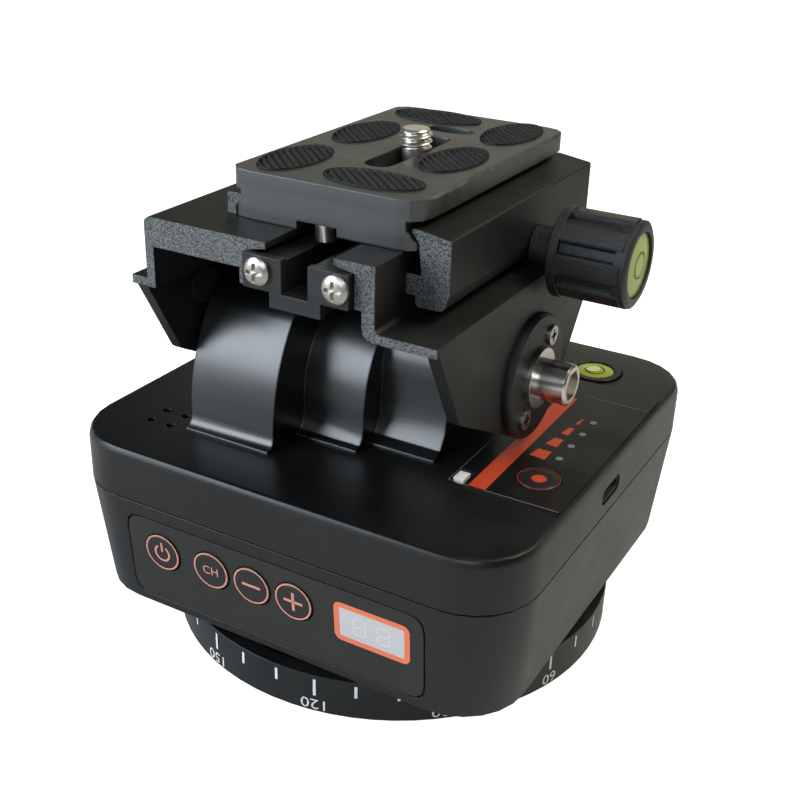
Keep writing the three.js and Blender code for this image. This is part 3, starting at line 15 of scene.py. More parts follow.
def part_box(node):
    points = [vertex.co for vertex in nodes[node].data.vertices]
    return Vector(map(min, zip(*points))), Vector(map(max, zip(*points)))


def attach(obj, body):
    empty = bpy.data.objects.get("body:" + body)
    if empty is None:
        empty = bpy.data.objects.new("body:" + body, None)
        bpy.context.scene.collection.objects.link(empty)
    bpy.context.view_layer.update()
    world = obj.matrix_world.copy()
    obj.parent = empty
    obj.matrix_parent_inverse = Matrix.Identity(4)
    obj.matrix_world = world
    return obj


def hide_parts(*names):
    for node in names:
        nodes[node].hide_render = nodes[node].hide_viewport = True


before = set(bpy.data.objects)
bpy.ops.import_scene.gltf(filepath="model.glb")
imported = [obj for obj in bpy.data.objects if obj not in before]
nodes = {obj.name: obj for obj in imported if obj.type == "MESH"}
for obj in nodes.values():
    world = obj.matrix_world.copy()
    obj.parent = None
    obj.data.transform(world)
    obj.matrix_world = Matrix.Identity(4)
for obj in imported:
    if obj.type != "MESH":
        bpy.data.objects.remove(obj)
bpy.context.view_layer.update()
MM = 0.001

# %% [markdown]
# Curved solids arrive as flat facets. Welding their vertices and splitting them again only where two
# faces meet at a clear angle lets the light run smoothly round the dial and the drums, and keeps real
# edges sharp. A weighted normal then keeps large flat faces flat where they meet a small rounded edge.
# Modifiers do all this without changing the mesh itself.

# %% Smooth the curved solids
SOLID_WELD = 1e-6
SHARP_ANGLE = 32
FLAT_FACE_WEIGHT = 90


def smooth_by_angle(obj, degrees=SHARP_ANGLE):
    mesh = obj.data
    if "custom_normal" in mesh.attributes:
        mesh.attributes.remove(mesh.attributes["custom_normal"])
    mesh.polygons.foreach_set("use_smooth", [True] * len(mesh.polygons))
    weld = obj.modifiers.new("weld", "WELD")
    weld.merge_threshold = SOLID_WELD
    split = obj.modifiers.new("edges", "EDGE_SPLIT")
    split.split_angle = math.radians(degrees)
    flat = obj.modifiers.new("flat_faces", "WEIGHTED_NORMAL")
    flat.weight = FLAT_FACE_WEIGHT


for node in nodes.values():
    smooth_by_angle(node)
print("smoothed", len(nodes), "solids")

# %% [markdown]
# The camera stands to the right of the front, above the head, as a person would hold it over a table.
# A focal length of 54 mm on a 36 mm sensor gives the mild perspective of the housing's sides. The small
# roll is part of a hand-held picture, so it goes into the camera and not into the object.

# %% Camera
AZIMUTH, ELEVATION, ROLL = (math.radians(angle) for angle in (28.994, 26.078, -1.777))
CAMERA_PLACE = (0.1129, -0.2031, 0.1610)
FOCAL_LENGTH, SENSOR_WIDTH, NEAREST = 53.86, 36, 0.01

forward = Vector((-math.sin(AZIMUTH) * math.cos(ELEVATION), math.cos(AZIMUTH) * math.cos(ELEVATION),
                  -math.sin(ELEVATION)))
level_right = Vector((math.cos(AZIMUTH), math.sin(AZIMUTH), 0))
level_down = forward.cross(level_right)
right = level_right * math.cos(ROLL) + level_down * math.sin(ROLL)
down = -level_right * math.sin(ROLL) + level_down * math.cos(ROLL)

camera_data = bpy.data.cameras.new("camera")
camera_data.lens = FOCAL_LENGTH
camera_data.sensor_width = SENSOR_WIDTH
camera_data.clip_start = NEAREST
scene = bpy.context.scene
camera = bpy.data.objects.new("camera", camera_data)
scene.collection.objects.link(camera)
turn = Matrix((right, -down, -forward)).transposed()
camera.matrix_world = Matrix.Translation(Vector(CAMERA_PLACE)) @ turn.to_4x4()
scene.camera = camera
print("camera at", [round(value, 3) for value in camera.location])

# %% [markdown]
# A black object shows mostly what it reflects, so the room round it matters. The world is white for the
# camera and through glass, and only faintly so for glossy surfaces, because the room above this object
# was dark. A small sum of light paths does this, and the floor uses the same sum further on.

# %% World
ROOM_COLOUR, ROOM_STRENGTH = (0.52, 0.55, 0.60, 1), 0.09
ROOM_IN_GLOSS = 0.03
WHITE = (1, 1, 1, 1)


def seen_by(group, path, gloss_share):
    direct = group.nodes.new("ShaderNodeMath")
    gloss = group.nodes.new("ShaderNodeMath")
    gloss.operation = "MULTIPLY_ADD"
    gloss.inputs[1].default_value = gloss_share
    group.links.new(path.outputs["Is Camera Ray"], direct.inputs[0])
    group.links.new(path.outputs["Is Transmission Ray"], direct.inputs[1])
    group.links.new(path.outputs["Is Glossy Ray"], gloss.inputs[0])
    group.links.new(direct.outputs["Value"], gloss.inputs[2])
    return gloss.outputs["Value"]


scene.view_settings.view_transform = "Standard"
world = bpy.data.worlds.new("studio")
scene.world = world
world.use_nodes = True
sky = world.node_tree
sky.nodes.clear()
sky_out = sky.nodes.new("ShaderNodeOutputWorld")
sky_mix = sky.nodes.new("ShaderNodeMixShader")
sky_light = sky.nodes.new("ShaderNodeBackground")
sky_white = sky.nodes.new("ShaderNodeBackground")
sky_path = sky.nodes.new("ShaderNodeLightPath")
sky_light.inputs["Color"].default_value = ROOM_COLOUR
sky_light.inputs["Strength"].default_value = ROOM_STRENGTH
sky_white.inputs["Color"].default_value = WHITE
sky.links.new(seen_by(sky, sky_path, ROOM_IN_GLOSS), sky_mix.inputs["Fac"])
sky.links.new(sky_light.outputs["Background"], sky_mix.inputs[1])
sky.links.new(sky_white.outputs["Background"], sky_mix.inputs[2])
sky.links.new(sky_mix.outputs["Shader"], sky_out.inputs["Surface"])
print("world:", world.name)

# %% [markdown]
# Each lamp is a soft panel, placed where one group of faces looks. A cool window on the left draws the
# long highlights on the drums. A second one, high in front, lights the table, which the upright faces
# reflect. A wide panel low behind the head gives the tops their olive sheen, and a small warm lamp on
# the right lights the table beside the faces on that side.

# %% Lamps
COOL, WARM, OLIVE = (0.82, 0.92, 1.0), (1.0, 0.92, 0.76), (1.0, 0.97, 0.74)


def soft_lamp(name, place, target, size, power, colour):
    data = bpy.data.lights.new(name, "AREA")
    data.shape = "RECTANGLE"
    data.size, data.size_y = size
    data.energy = power
    data.color = colour
    lamp = bpy.data.objects.new(name, data)
    scene.collection.objects.link(lamp)
    lamp.location = place
    lamp.rotation_mode = "QUATERNION"
    lamp.rotation_quaternion = (Vector(target) - Vector(place)).to_track_quat("-Z", "Y")


soft_lamp("left_window", place=(-0.70, -0.72, 0.49), target=(0, 0, 0.07),
          size=(0.8, 0.75), power=14.0, colour=COOL)
soft_lamp("front_window", place=(0.25, -1.30, 0.80), target=(0, -0.1, 0.0),
          size=(1.0, 0.5), power=6.0, colour=COOL)
soft_lamp("rear_panel", place=(-0.42, 1.25, 0.34), target=(0, 0, 0.07),
          size=(1.1, 0.55), power=1.05, colour=OLIVE)
soft_lamp("right_lamp", place=(0.32, 0.20, 0.55), target=(0.12, 0.12, 0),
          size=(0.3, 0.3), power=3.2, colour=WARM)

# %% [markdown]
# The floor is pale and plain. It has some light of its own, more for the camera than for the object, so
# that it comes out almost white and the upright faces still reflect a bright table.

# %% Floor
FLOOR_HALF, FLOOR_DROP = 6.0, 0.00002
FLOOR_COLOUR = (0.5, 0.5, 0.5, 1)
FLOOR_IN_GLOSS = 0.12


def plane_mesh(name, half):
    mesh = bpy.data.meshes.new(name)
    corners = [(-half, -half, 0), (half, -half, 0), (half, half, 0), (-half, half, 0)]
    mesh.from_pydata(corners, [], [(0, 1, 2, 3)])
    obj = bpy.data.objects.new(name, mesh)
    scene.collection.objects.link(obj)
    return obj


floor = plane_mesh("floor", FLOOR_HALF)
floor.location.z = -FLOOR_DROP
floor_paint = bpy.data.materials.new("pale_floor")
floor_paint.use_nodes = True
tree = floor_paint.node_tree
tree.nodes.clear()
floor_out = tree.nodes.new("ShaderNodeOutputMaterial")
floor_add = tree.nodes.new("ShaderNodeAddShader")
floor_matt = tree.nodes.new("ShaderNodeBsdfDiffuse")
floor_glow = tree.nodes.new("ShaderNodeEmission")
floor_path = tree.nodes.new("ShaderNodeLightPath")
floor_matt.inputs["Color"].default_value = FLOOR_COLOUR
floor_glow.inputs["Color"].default_value = WHITE
tree.links.new(seen_by(tree, floor_path, FLOOR_IN_GLOSS), floor_glow.inputs["Strength"])
tree.links.new(floor_matt.outputs["BSDF"], floor_add.inputs[0])
tree.links.new(floor_glow.outputs["Emission"], floor_add.inputs[1])
tree.links.new(floor_add.outputs["Shader"], floor_out.inputs["Surface"])
floor.data.materials.append(floor_paint)
print("floor laid,", 2 * FLOOR_HALF, "m wide")

# %% [markdown]
# Moulded plastic, anodised metal and rubber all have a fine grain that breaks up their highlights. It is
# the same effect at different sizes, so it is one node group: a noise gives a height for the Bump node
# and a second, larger one gives a mask that varies colour and roughness a little.

# %% Node group: surface grain
def new_group(name, inputs, outputs):
    group = bpy.data.node_groups.new(name, "ShaderNodeTree")
    for label, kind, value in inputs:
        socket = group.interface.new_socket(label, in_out="INPUT", socket_type=kind)
        socket.default_value = value
    for label, kind in outputs:
        group.interface.new_socket(label, in_out="OUTPUT", socket_type=kind)
    return group, group.nodes.new("NodeGroupInput"), group.nodes.new("NodeGroupOutput")


def feed(group, value, socket):
    if hasattr(value, "links"):
        group.links.new(value, socket)
    else:
        socket.default_value = value


def noise_node(group, vector, scale, detail, roughness):
    node = group.nodes.new("ShaderNodeTexNoise")
    node.inputs["Detail"].default_value = detail
    node.inputs["Roughness"].default_value = roughness
    group.links.new(vector, node.inputs["Vector"])
    feed(group, scale, node.inputs["Scale"])
    return node.outputs["Fac"]


grain, grain_in, grain_out = new_group(
    "surface_grain",
    [("Scale", "NodeSocketFloat", 2000.0), ("Patch Scale", "NodeSocketFloat", 60.0)],
    [("Height", "NodeSocketFloat"), ("Patches", "NodeSocketFloat")])
grain_place = grain.nodes.new("ShaderNodeTexCoord").outputs["Object"]
fine = noise_node(grain, grain_place, grain_in.outputs["Scale"], detail=3.0, roughness=0.6)
patch = noise_node(grain, grain_place, grain_in.outputs["Patch Scale"], detail=4.0, roughness=0.6)
grain.links.new(fine, grain_out.inputs["Height"])
grain.links.new(patch, grain_out.inputs["Patches"])
print("group:", grain.name)

# %% [markdown]
# Brushed aluminium has thousands of fine scratches, all one way. Stretching a noise along one axis makes
# them: the group scales the object's coordinates unevenly before the noise reads them.

# %% Node group: brushed lines
FINE_LINES, BROAD_STREAKS = 1.0, 0.12

brushed, brushed_in, brushed_out = new_group(
    "brushed_lines",
    [("Stretch", "NodeSocketVector", (30.0, 2500.0, 2500.0))],
    [("Height", "NodeSocketFloat"), ("Streaks", "NodeSocketFloat")])
brushed_place = brushed.nodes.new("ShaderNodeTexCoord").outputs["Object"]
brushed_scale = brushed.nodes.new("ShaderNodeVectorMath")
brushed_scale.operation = "MULTIPLY"
brushed.links.new(brushed_place, brushed_scale.inputs[0])
brushed.links.new(brushed_in.outputs["Stretch"], brushed_scale.inputs[1])
stretched = brushed_scale.outputs["Vector"]
lines = noise_node(brushed, stretched, FINE_LINES, detail=2.0, roughness=0.7)
broad = noise_node(brushed, stretched, BROAD_STREAKS, detail=2.0, roughness=0.6)
brushed.links.new(lines, brushed_out.inputs["Height"])
brushed.links.new(broad, brushed_out.inputs["Streaks"])
print("group:", brushed.name)

# %% [markdown]
# Handled black parts gather a little dust and finger grease. A thresholded noise gives a soft, uneven
# mask, which lightens the colour slightly and dulls the gloss where it falls.

# %% Node group: handling marks
MARKS_ABOVE, MARKS_CONTRAST = 0.45, 4.0


def math_node(group, operation, first, second=None, clamp=False):
    node = group.nodes.new("ShaderNodeMath")
    node.operation = operation
    node.use_clamp = clamp
    feed(group, first, node.inputs[0])
    if second is not None:
        feed(group, second, node.inputs[1])
    return node.outputs["Value"]


marks, marks_in, marks_out = new_group(
    "handling_marks",
    [("Scale", "NodeSocketFloat", 40.0), ("Amount", "NodeSocketFloat", 0.3)],
    [("Mask", "NodeSocketFloat")])
marks_place = marks.nodes.new("ShaderNodeTexCoord").outputs["Object"]
smear = noise_node(marks, marks_place, marks_in.outputs["Scale"], detail=6.0, roughness=0.7)
raised = math_node(marks, "SUBTRACT", smear, MARKS_ABOVE, clamp=True)
spread = math_node(marks, "MULTIPLY", raised, MARKS_CONTRAST, clamp=True)
marks.links.new(math_node(marks, "MULTIPLY", spread, marks_in.outputs["Amount"]),
                marks_out.inputs["Mask"])
print("group:", marks.name)

# %% [markdown]
# The bracket is cut from a long profile, and its sawn ends are paler and more speckled than its drawn
# sides. The group reads the object's own normal, so the mask stays on the ends when the bracket tilts.

# %% Node group: sawn ends
FACES_END = 0.92
SPECKLE_ABOVE, SPECKLE_CONTRAST = 0.38, 4.5

ends, ends_in, ends_out = new_group(
    "sawn_ends",
    [("Speckle Scale", "NodeSocketFloat", 1800.0), ("Amount", "NodeSocketFloat", 0.0)],
    [("Mask", "NodeSocketFloat")])
ends_place = ends.nodes.new("ShaderNodeTexCoord")
ends_split = ends.nodes.new("ShaderNodeSeparateXYZ")
ends.links.new(ends_place.outputs["Normal"], ends_split.inputs["Vector"])
facing = math_node(ends, "ABSOLUTE", ends_split.outputs["Y"])
on_end = math_node(ends, "GREATER_THAN", facing, FACES_END)
speckle = noise_node(ends, ends_place.outputs["Object"], ends_in.outputs["Speckle Scale"],
                     detail=3.0, roughness=0.75)
spots = math_node(ends, "SUBTRACT", speckle, SPECKLE_ABOVE, clamp=True)
clear_spots = math_node(ends, "MULTIPLY", spots, SPECKLE_CONTRAST, clamp=True)
spotted = math_node(ends, "MULTIPLY", on_end, clear_spots)
ends.links.new(math_node(ends, "MULTIPLY", spotted, ends_in.outputs["Amount"]), ends_out.inputs["Mask"])
print("group:", ends.name)

# %% [markdown]
# A material places these groups with its own values, and then mixes colours and shifts roughness by what
# they give. Three small helpers do that: one places a group, one mixes two colours and one stretches a
# mask to the range that a setting needs.

# %% Material helpers
PATCH_LOW, PATCH_HIGH = 0.3, 0.7


def group_node(tree, group, **values):
    node = tree.nodes.new("ShaderNodeGroup")
    node.node_tree = group
    for label, value in values.items():
        node.inputs[label.replace("_", " ")].default_value = value
    return node


def mix_colour(tree, factor, first, second):
    node = tree.nodes.new("ShaderNodeMix")
    node.data_type = "RGBA"
    tree.links.new(factor, node.inputs["Factor"])
    for socket, value in ((node.inputs["A"], first), (node.inputs["B"], second)):
        feed(tree, value if hasattr(value, "links") else (*value, 1), socket)
    return node.outputs["Result"]


def map_range(tree, value, low, high):
    node = tree.nodes.new("ShaderNodeMapRange")
    tree.links.new(value, node.inputs["Value"])
    node.inputs["From Min"].default_value = PATCH_LOW
    node.inputs["From Max"].default_value = PATCH_HIGH
    node.inputs["To Min"].default_value = low
    node.inputs["To Max"].default_value = high
    return node.outputs["Result"]


print("material helpers ready")

# %% [markdown]
# Every finish starts from the same steps: a Principled shader, its colour varied by the patches of the
# grain and the handling marks, its roughness likewise, and a Bump node for the grain. A Bevel node under
# the bump rounds the edges for the light only, because no real edge is perfectly sharp. Edge and bump
# are given in millimetres.

# %% Finish maker
PATCH_SCALE, MARKS_SCALE, SPECKLE_SCALE = 60.0, 45.0, 3400.0
CUT_METAL, CUT_RELIEF = (0.30, 0.31, 0.31), 6.0
PALE_DUST = (0.10, 0.10, 0.095)
BEVEL_SAMPLES = 4


def finish(name, dark, light, roughness, metallic=0.0, grain_scale=2500.0, bump=0.05, edge=0.25,
           marks_amount=0.06, dust=PALE_DUST, stretch=None, coat=0.0, sawn=0.0, specular=0.5):
    material = bpy.data.materials.new(name)
    material.use_nodes = True
    tree = material.node_tree
    shader = tree.nodes["Principled BSDF"]
    texture = group_node(tree, grain, Scale=grain_scale, Patch_Scale=PATCH_SCALE)
    height, patches = texture.outputs["Height"], texture.outputs["Patches"]
    if stretch:
        streaks = group_node(tree, brushed, Stretch=stretch)
        height, patches = streaks.outputs["Height"], streaks.outputs["Streaks"]
    smears = group_node(tree, marks, Scale=MARKS_SCALE, Amount=marks_amount)
    base = mix_colour(tree, patches, dark, light)
    colour = mix_colour(tree, smears.outputs["Mask"], base, dust)
    if sawn:
        cut_face = group_node(tree, ends, Speckle_Scale=SPECKLE_SCALE, Amount=sawn)
        colour = mix_colour(tree, cut_face.outputs["Mask"], colour, CUT_METAL)
        height = math_node(tree, "MULTIPLY_ADD", cut_face.outputs["Mask"], CUT_RELIEF)
        tree.links.new(texture.outputs["Height"], height.node.inputs[2])
    tree.links.new(colour, shader.inputs["Base Color"])
    low, high = roughness
    rough = map_range(tree, patches, low, high)
    dulled = math_node(tree, "ADD", rough, smears.outputs["Mask"], clamp=True)
    tree.links.new(dulled, shader.inputs["Roughness"])
    shader.inputs["Metallic"].default_value = metallic
    shader.inputs["Coat Weight"].default_value = coat
    shader.inputs["Specular IOR Level"].default_value = specular
    bevel = tree.nodes.new("ShaderNodeBevel")
    bevel.samples = BEVEL_SAMPLES
    bevel.inputs["Radius"].default_value = edge * MM
    relief = tree.nodes.new("ShaderNodeBump")
    relief.inputs["Strength"].default_value = 1.0
    relief.inputs["Distance"].default_value = bump * MM
    tree.links.new(height, relief.inputs["Height"])
    tree.links.new(bevel.outputs["Normal"], relief.inputs["Normal"])
    tree.links.new(relief.outputs["Normal"], shader.inputs["Normal"])
    return material


def dress(material, *names):
    for name in names:
        obj = nodes[name]
        obj.data.materials.clear()
        obj.data.materials.append(material)


print("finish maker ready")

# %% [markdown]
# The housing is moulded in black plastic with a fine satin texture, and the drums are the same plastic
# with a smoother skin, which is why they show a clear window reflection. Both are nearly black: what we
# see on them is mostly light from the lamps.

# %% Plastic finishes
housing_plastic = finish(
    "housing_plastic", (0.0035, 0.0035, 0.0040), (0.0050, 0.0050, 0.0055), (0.30, 0.38),
    grain_scale=2600, bump=0.006, edge=0.35, marks_amount=0.04)
drum_plastic = finish(
    "drum_plastic", (0.0035, 0.0040, 0.0045), (0.0055, 0.0060, 0.0065), (0.28, 0.34),
    grain_scale=1800, bump=0.002, edge=0.5, marks_amount=0.02, specular=0.95)
dial_plastic = finish(
    "dial_plastic", (0.0045, 0.0050, 0.0050), (0.0070, 0.0075, 0.0075), (0.30, 0.38),
    grain_scale=3000, bump=0.004, edge=0.3)
dress(housing_plastic, "lower_housing", "top_cover", "level_cup")
dress(drum_plastic, "tilt_housing")
dress(dial_plastic, "dial_base")
print("plastic on housing, cover, level cup, drums and dial")

# %% [markdown]
# The control panel and the label on the cover are printed films glued on. The panel's film is a little
# paler and rougher than the housing, the label is smooth and glossy, and the buttons have a soft edge.

# %% Film finishes
panel_film = finish(
    "panel_film", (0.013, 0.012, 0.011), (0.019, 0.018, 0.016), (0.40, 0.50),
    grain_scale=2200, bump=0.025, edge=0.15)
button_film = finish(
    "button_film", (0.008, 0.008, 0.009), (0.014, 0.014, 0.016), (0.22, 0.34),
    grain_scale=2600, bump=0.006, edge=0.9)
label_film = finish(
    "label_film", (0.0045, 0.0045, 0.0045), (0.0065, 0.0065, 0.0065), (0.20, 0.27),
    grain_scale=3200, bump=0.002, edge=0.1)
dress(panel_film, "control_panel")
dress(button_film, "power_button", "channel_button", "minus_button", "plus_button", "record_button")
dress(label_film, "top_label")
print("film on panel, five buttons and label")

# %% [markdown]
# The bracket, jaws and clamp are black anodised aluminium. Anodising keeps the metal's sheen under a
# dark skin, so the shader is metallic with a dark colour and a medium roughness. The release plate and
# the end plates were brushed before they were anodised. The flange and the socket are painted.

# %% Dark metal finishes
anodised = finish(
    "black_anodised", (0.030, 0.030, 0.030), (0.044, 0.044, 0.043), (0.44, 0.54),
    metallic=0.8, grain_scale=3200, bump=0.010, edge=0.3, sawn=0.75)
dark_sheet = finish(
    "dark_sheet", (0.042, 0.043, 0.044), (0.060, 0.061, 0.062), (0.36, 0.46),
    metallic=0.8, bump=0.005, edge=0.3, stretch=(60.0, 3000.0, 3000.0))
flange_paint = finish(
    "flange_paint", (0.008, 0.008, 0.008), (0.014, 0.014, 0.014), (0.42, 0.55),
    grain_scale=1500, bump=0.03, edge=0.4)
socket_shell = finish(
    "socket_shell", (0.010, 0.010, 0.011), (0.015, 0.015, 0.016), (0.45, 0.6), bump=0.01)
brushed_plate = finish(
    "brushed_plate", (0.085, 0.088, 0.088), (0.165, 0.170, 0.170), (0.34, 0.44),
    metallic=0.9, bump=0.008, edge=0.35, stretch=(50.0, 2600.0, 2600.0), marks_amount=0.03)
dress(anodised, "bracket", "clamp_jaw", "slide_channel")
dress(dark_sheet, "end_plate_front", "end_plate_rear")
dress(flange_paint, "flange_plate")
dress(socket_shell, "usb_socket")
dress(brushed_plate, "release_plate")
print("dark metal on bracket, jaw, channel, plates, flange and socket")

# %% [markdown]
# The bare metals are brighter. The pivot and its washer are chromed, the camera screw is nickel plated,
# the small screws are plain steel, and the shafts and gears inside are turned steel and brass.

# %% Bright metal finishes
screw_steel = finish(
    "screw_steel", (0.48, 0.45, 0.40), (0.58, 0.55, 0.49), (0.28, 0.38),
    metallic=1.0, grain_scale=900, bump=0.004, edge=0.15)
nickel = finish(
    "nickel", (0.72, 0.68, 0.60), (0.82, 0.78, 0.70), (0.26, 0.36),
    metallic=1.0, grain_scale=900, bump=0.002, edge=0.1, marks_amount=0.05)
chrome = finish(
    "chrome", (0.72, 0.68, 0.61), (0.82, 0.78, 0.71), (0.18, 0.28),
    metallic=1.0, grain_scale=900, bump=0.002, edge=0.15, marks_amount=0.05, dust=(0.4, 0.38, 0.34))
turned_steel = finish(
    "turned_steel", (0.42, 0.42, 0.43), (0.55, 0.55, 0.56), (0.22, 0.34),
    metallic=1.0, grain_scale=1500, bump=0.004, edge=0.2)
brass = finish(
    "brass", (0.55, 0.40, 0.17), (0.66, 0.50, 0.24), (0.22, 0.34), metallic=1.0, edge=0.15)
dress(chrome, "pivot_screw", "pivot_washer", "stop_pin_front", "stop_pin_rear")
dress(screw_steel, "flange_screw_lower", "flange_screw_upper", "end_screw_front_left",
      "end_screw_front_right", "end_screw_rear_left", "end_screw_rear_right")
dress(turned_steel, "tripod_socket", "pan_spindle", "spindle_nut", "pan_bearing", "pan_motor",
      "tilt_motor", "left_pivot", "tilt_shaft", "clamp_screw", "screw_retainer")
dress(brass, "pan_pinion", "tilt_pinion", "tilt_gear")
print("bright metal on screws, pins, shafts, motors and gears")

# %% [markdown]
# Rubber is the roughest finish here. The knob is a hard plastic with a coarse spark-eroded grain. The
# remaining small parts, such as the switch and the parts inside, get plain colours with the same grain.

# %% Rubber, knob and small parts
rubber = finish(
    "rubber", (0.006, 0.006, 0.006), (0.012, 0.012, 0.011), (0.52, 0.66),
    grain_scale=1600, bump=0.01, edge=0.05)
knob_plastic = finish(
    "knob_plastic", (0.006, 0.006, 0.007), (0.012, 0.013, 0.013), (0.26, 0.36),
    grain_scale=3400, bump=0.20, edge=0.35)
white_plastic = finish(
    "white_plastic", (0.72, 0.70, 0.66), (0.80, 0.78, 0.74), (0.35, 0.5), edge=0.2)
board_green = finish("board_green", (0.01, 0.09, 0.035), (0.015, 0.12, 0.05), (0.35, 0.5))
battery_wrap = finish("battery_wrap", (0.02, 0.08, 0.32), (0.03, 0.11, 0.40), (0.25, 0.4))
gear_nylon = finish("gear_nylon", (0.66, 0.64, 0.57), (0.72, 0.70, 0.62), (0.4, 0.55))
display_grey = finish(
    "display_grey", (0.56, 0.53, 0.53), (0.68, 0.65, 0.65), (0.25, 0.35),
    bump=0.002, edge=0.1, coat=0.6)
dress(rubber, "rubber_ring", "travel_stop", "grip_pad_side_a", "grip_pad_side_b", "grip_pad_mid_a",
      "grip_pad_mid_b", "grip_pad_end_a", "grip_pad_end_b")
dress(knob_plastic, "clamp_knob")
dress(white_plastic, "mode_switch")
dress(board_green, "control_board")
dress(battery_wrap, "battery_pack")
dress(gear_nylon, "pan_gear")
dress(display_grey, "display_window")
print("small parts dressed")

# %% [markdown]
# Both vials hold a yellow-green fluid under a clear dome. The fluid looks bright in daylight, so it is a
# saturated colour under a glossy coat. The bubble is paler, and its coat is the glossiest of all.

# %% Vial finishes
vial_fluid = finish(
    "vial_fluid", (0.26, 0.34, 0.012), (0.38, 0.47, 0.03), (0.30, 0.40),
    bump=0.001, edge=0.3, marks_amount=0.02, coat=0.5)
bubble_shine = finish(
    "bubble_shine", (0.55, 0.64, 0.22), (0.62, 0.70, 0.30), (0.05, 0.1),
    bump=0.001, edge=0.1, coat=1.0)
ring_ink = finish(
    "ring_ink", (0.02, 0.03, 0.005), (0.03, 0.04, 0.01), (0.3, 0.4), bump=0.001, edge=0.02)
dress(vial_fluid, "level_vial", "knob_vial")
print("vials dressed")

# %% [markdown]
# Printing inks lie almost flat on the film, so they share one small relief and a hardly rounded edge. The
# dark shade inside a screw's cross recess is laid on in the same way, as a thin metallic layer.

# %% Inks
def ink(name, dark, light, roughness, metallic=0.0):
    return finish(name, dark, light, roughness, metallic=metallic, bump=0.002, edge=0.02)


orange_ink = ink("orange_ink", (0.86, 0.19, 0.09), (0.92, 0.22, 0.11), (0.30, 0.42))
red_ink = ink("red_orange_ink", (0.46, 0.044, 0.015), (0.52, 0.055, 0.019), (0.28, 0.38))
coral_ink = ink("coral_ink", (0.72, 0.27, 0.18), (0.80, 0.33, 0.23), (0.35, 0.5))
white_ink = ink("white_ink", (0.80, 0.80, 0.78), (0.88, 0.88, 0.86), (0.4, 0.55))
# light_grey serves both the printed light windows and the painted highlight on the label's cut edges.
light_grey = ink("light_grey", (0.14, 0.15, 0.155), (0.19, 0.20, 0.205), (0.3, 0.4))
grey_ink = ink("grey_ink", (0.10, 0.10, 0.10), (0.14, 0.14, 0.14), (0.3, 0.4))
digit_grey = ink("digit_grey", (0.68, 0.65, 0.65), (0.72, 0.69, 0.69), (0.3, 0.4))
recess_shade = ink("recess_shade", (0.025, 0.023, 0.020), (0.05, 0.046, 0.04), (0.4, 0.5), metallic=0.8)
print("materials so far:", len(bpy.data.materials))

# %% [markdown]
# Scales and symbols are printed, so each is a very thin sheet just above its surface. We draw every
# print flat, in millimetres, as a list of polygons. Rings and frames are made from short quads, so that
# they can bend round the dial or lie on the leaning panel.

# %% Flat shapes
def ring_shape(x, y, inner, outer, start=0.0, end=360.0, steps=48):
    quads = []
    for i in range(steps):
        a0 = math.radians(start + (end - start) * i / steps)
        a1 = math.radians(start + (end - start) * (i + 1) / steps)
        quads.append([(x + r * math.cos(a), y + r * math.sin(a))
                      for r, a in ((inner, a0), (outer, a0), (outer, a1), (inner, a1))])
    return quads


def disc_shape(x, y, radius, steps=40):
    angles = [2 * math.pi * i / steps for i in range(steps)]
    return [[(x + radius * math.cos(angle), y + radius * math.sin(angle)) for angle in angles]]


def rectangle(left, low, right, high):
    return [(left, low), (right, low), (right, high), (left, high)]


def bar_shape(x, y, width, height):
    return [rectangle(x - width / 2, y - height / 2, x + width / 2, y + height / 2)]


def rounded_points(x, y, width, height, radius, steps=8):
    points = []
    for corner, (sx, sy) in enumerate(((1, 1), (-1, 1), (-1, -1), (1, -1))):
        cx, cy = x + sx * (width / 2 - radius), y + sy * (height / 2 - radius)
        for i in range(steps + 1):
            angle = math.radians(90 * corner + 90 * i / steps)
            points.append((cx + radius * math.cos(angle), cy + radius * math.sin(angle)))
    return points


def frame_shape(x, y, width, height, radius, line):
    outer = rounded_points(x, y, width, height, radius)
    inner = rounded_points(x, y, width - 2 * line, height - 2 * line, radius - line)
    count = len(outer)
    return [[inner[i], outer[i], outer[(i + 1) % count], inner[(i + 1) % count]] for i in range(count)]


print("flat shapes ready")

# %% [markdown]
# Numbers and letters come from Blender's own font, turned into a mesh and read back as polygons. A
# placing function then wraps the flat shapes onto their surface, and the finished print rides on the
# body that carries it, so that it moves with that body.

# %% Lettering and printing
CAPITAL_SHARE = 0.69
PRINT_WELD = 1e-7
PRINT_LIFT = 0.02


def text_shape(text, x, y, height, turned=False):
    curve = bpy.data.curves.new("lettering", "FONT")
    curve.body = text
    curve.size = height / CAPITAL_SHARE
    curve.align_x = "CENTER"
    curve.resolution_u = 4
    obj = bpy.data.objects.new("lettering", curve)
    scene.collection.objects.link(obj)
    bpy.context.view_layer.update()
    mesh = obj.evaluated_get(bpy.context.evaluated_depsgraph_get()).to_mesh()
    side = -1 if turned else 1
    polygons = [[(x + side * mesh.vertices[v].co.x, y + side * (mesh.vertices[v].co.y - height / 2))
                 for v in face.vertices] for face in mesh.polygons]
    bpy.data.objects.remove(obj)
    bpy.data.curves.remove(curve)
    return polygons


def print_on(name, polygons, place, material, body):
    points = [place(*point) for polygon in polygons for point in polygon]
    faces, start = [], 0
    for polygon in polygons:
        faces.append(list(range(start, start + len(polygon))))
        start += len(polygon)
    mesh = bpy.data.meshes.new(name)
    mesh.from_pydata([[value * MM for value in point] for point in points], [], faces)
    mesh.materials.append(material)
    obj = bpy.data.objects.new(name, mesh)
    scene.collection.objects.link(obj)
    weld = obj.modifiers.new("weld", "WELD")
    weld.merge_threshold = PRINT_WELD
    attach(obj, body)


print("lettering and printing ready")

# %% [markdown]
# The dial carries a degree scale: a mark every ten degrees, a longer one every thirty with its number
# under it. The numbers stand on their heads because the scale is read from above, on a tripod. The font
# is a little narrow for this scale, so the numbers are stretched along the dial.

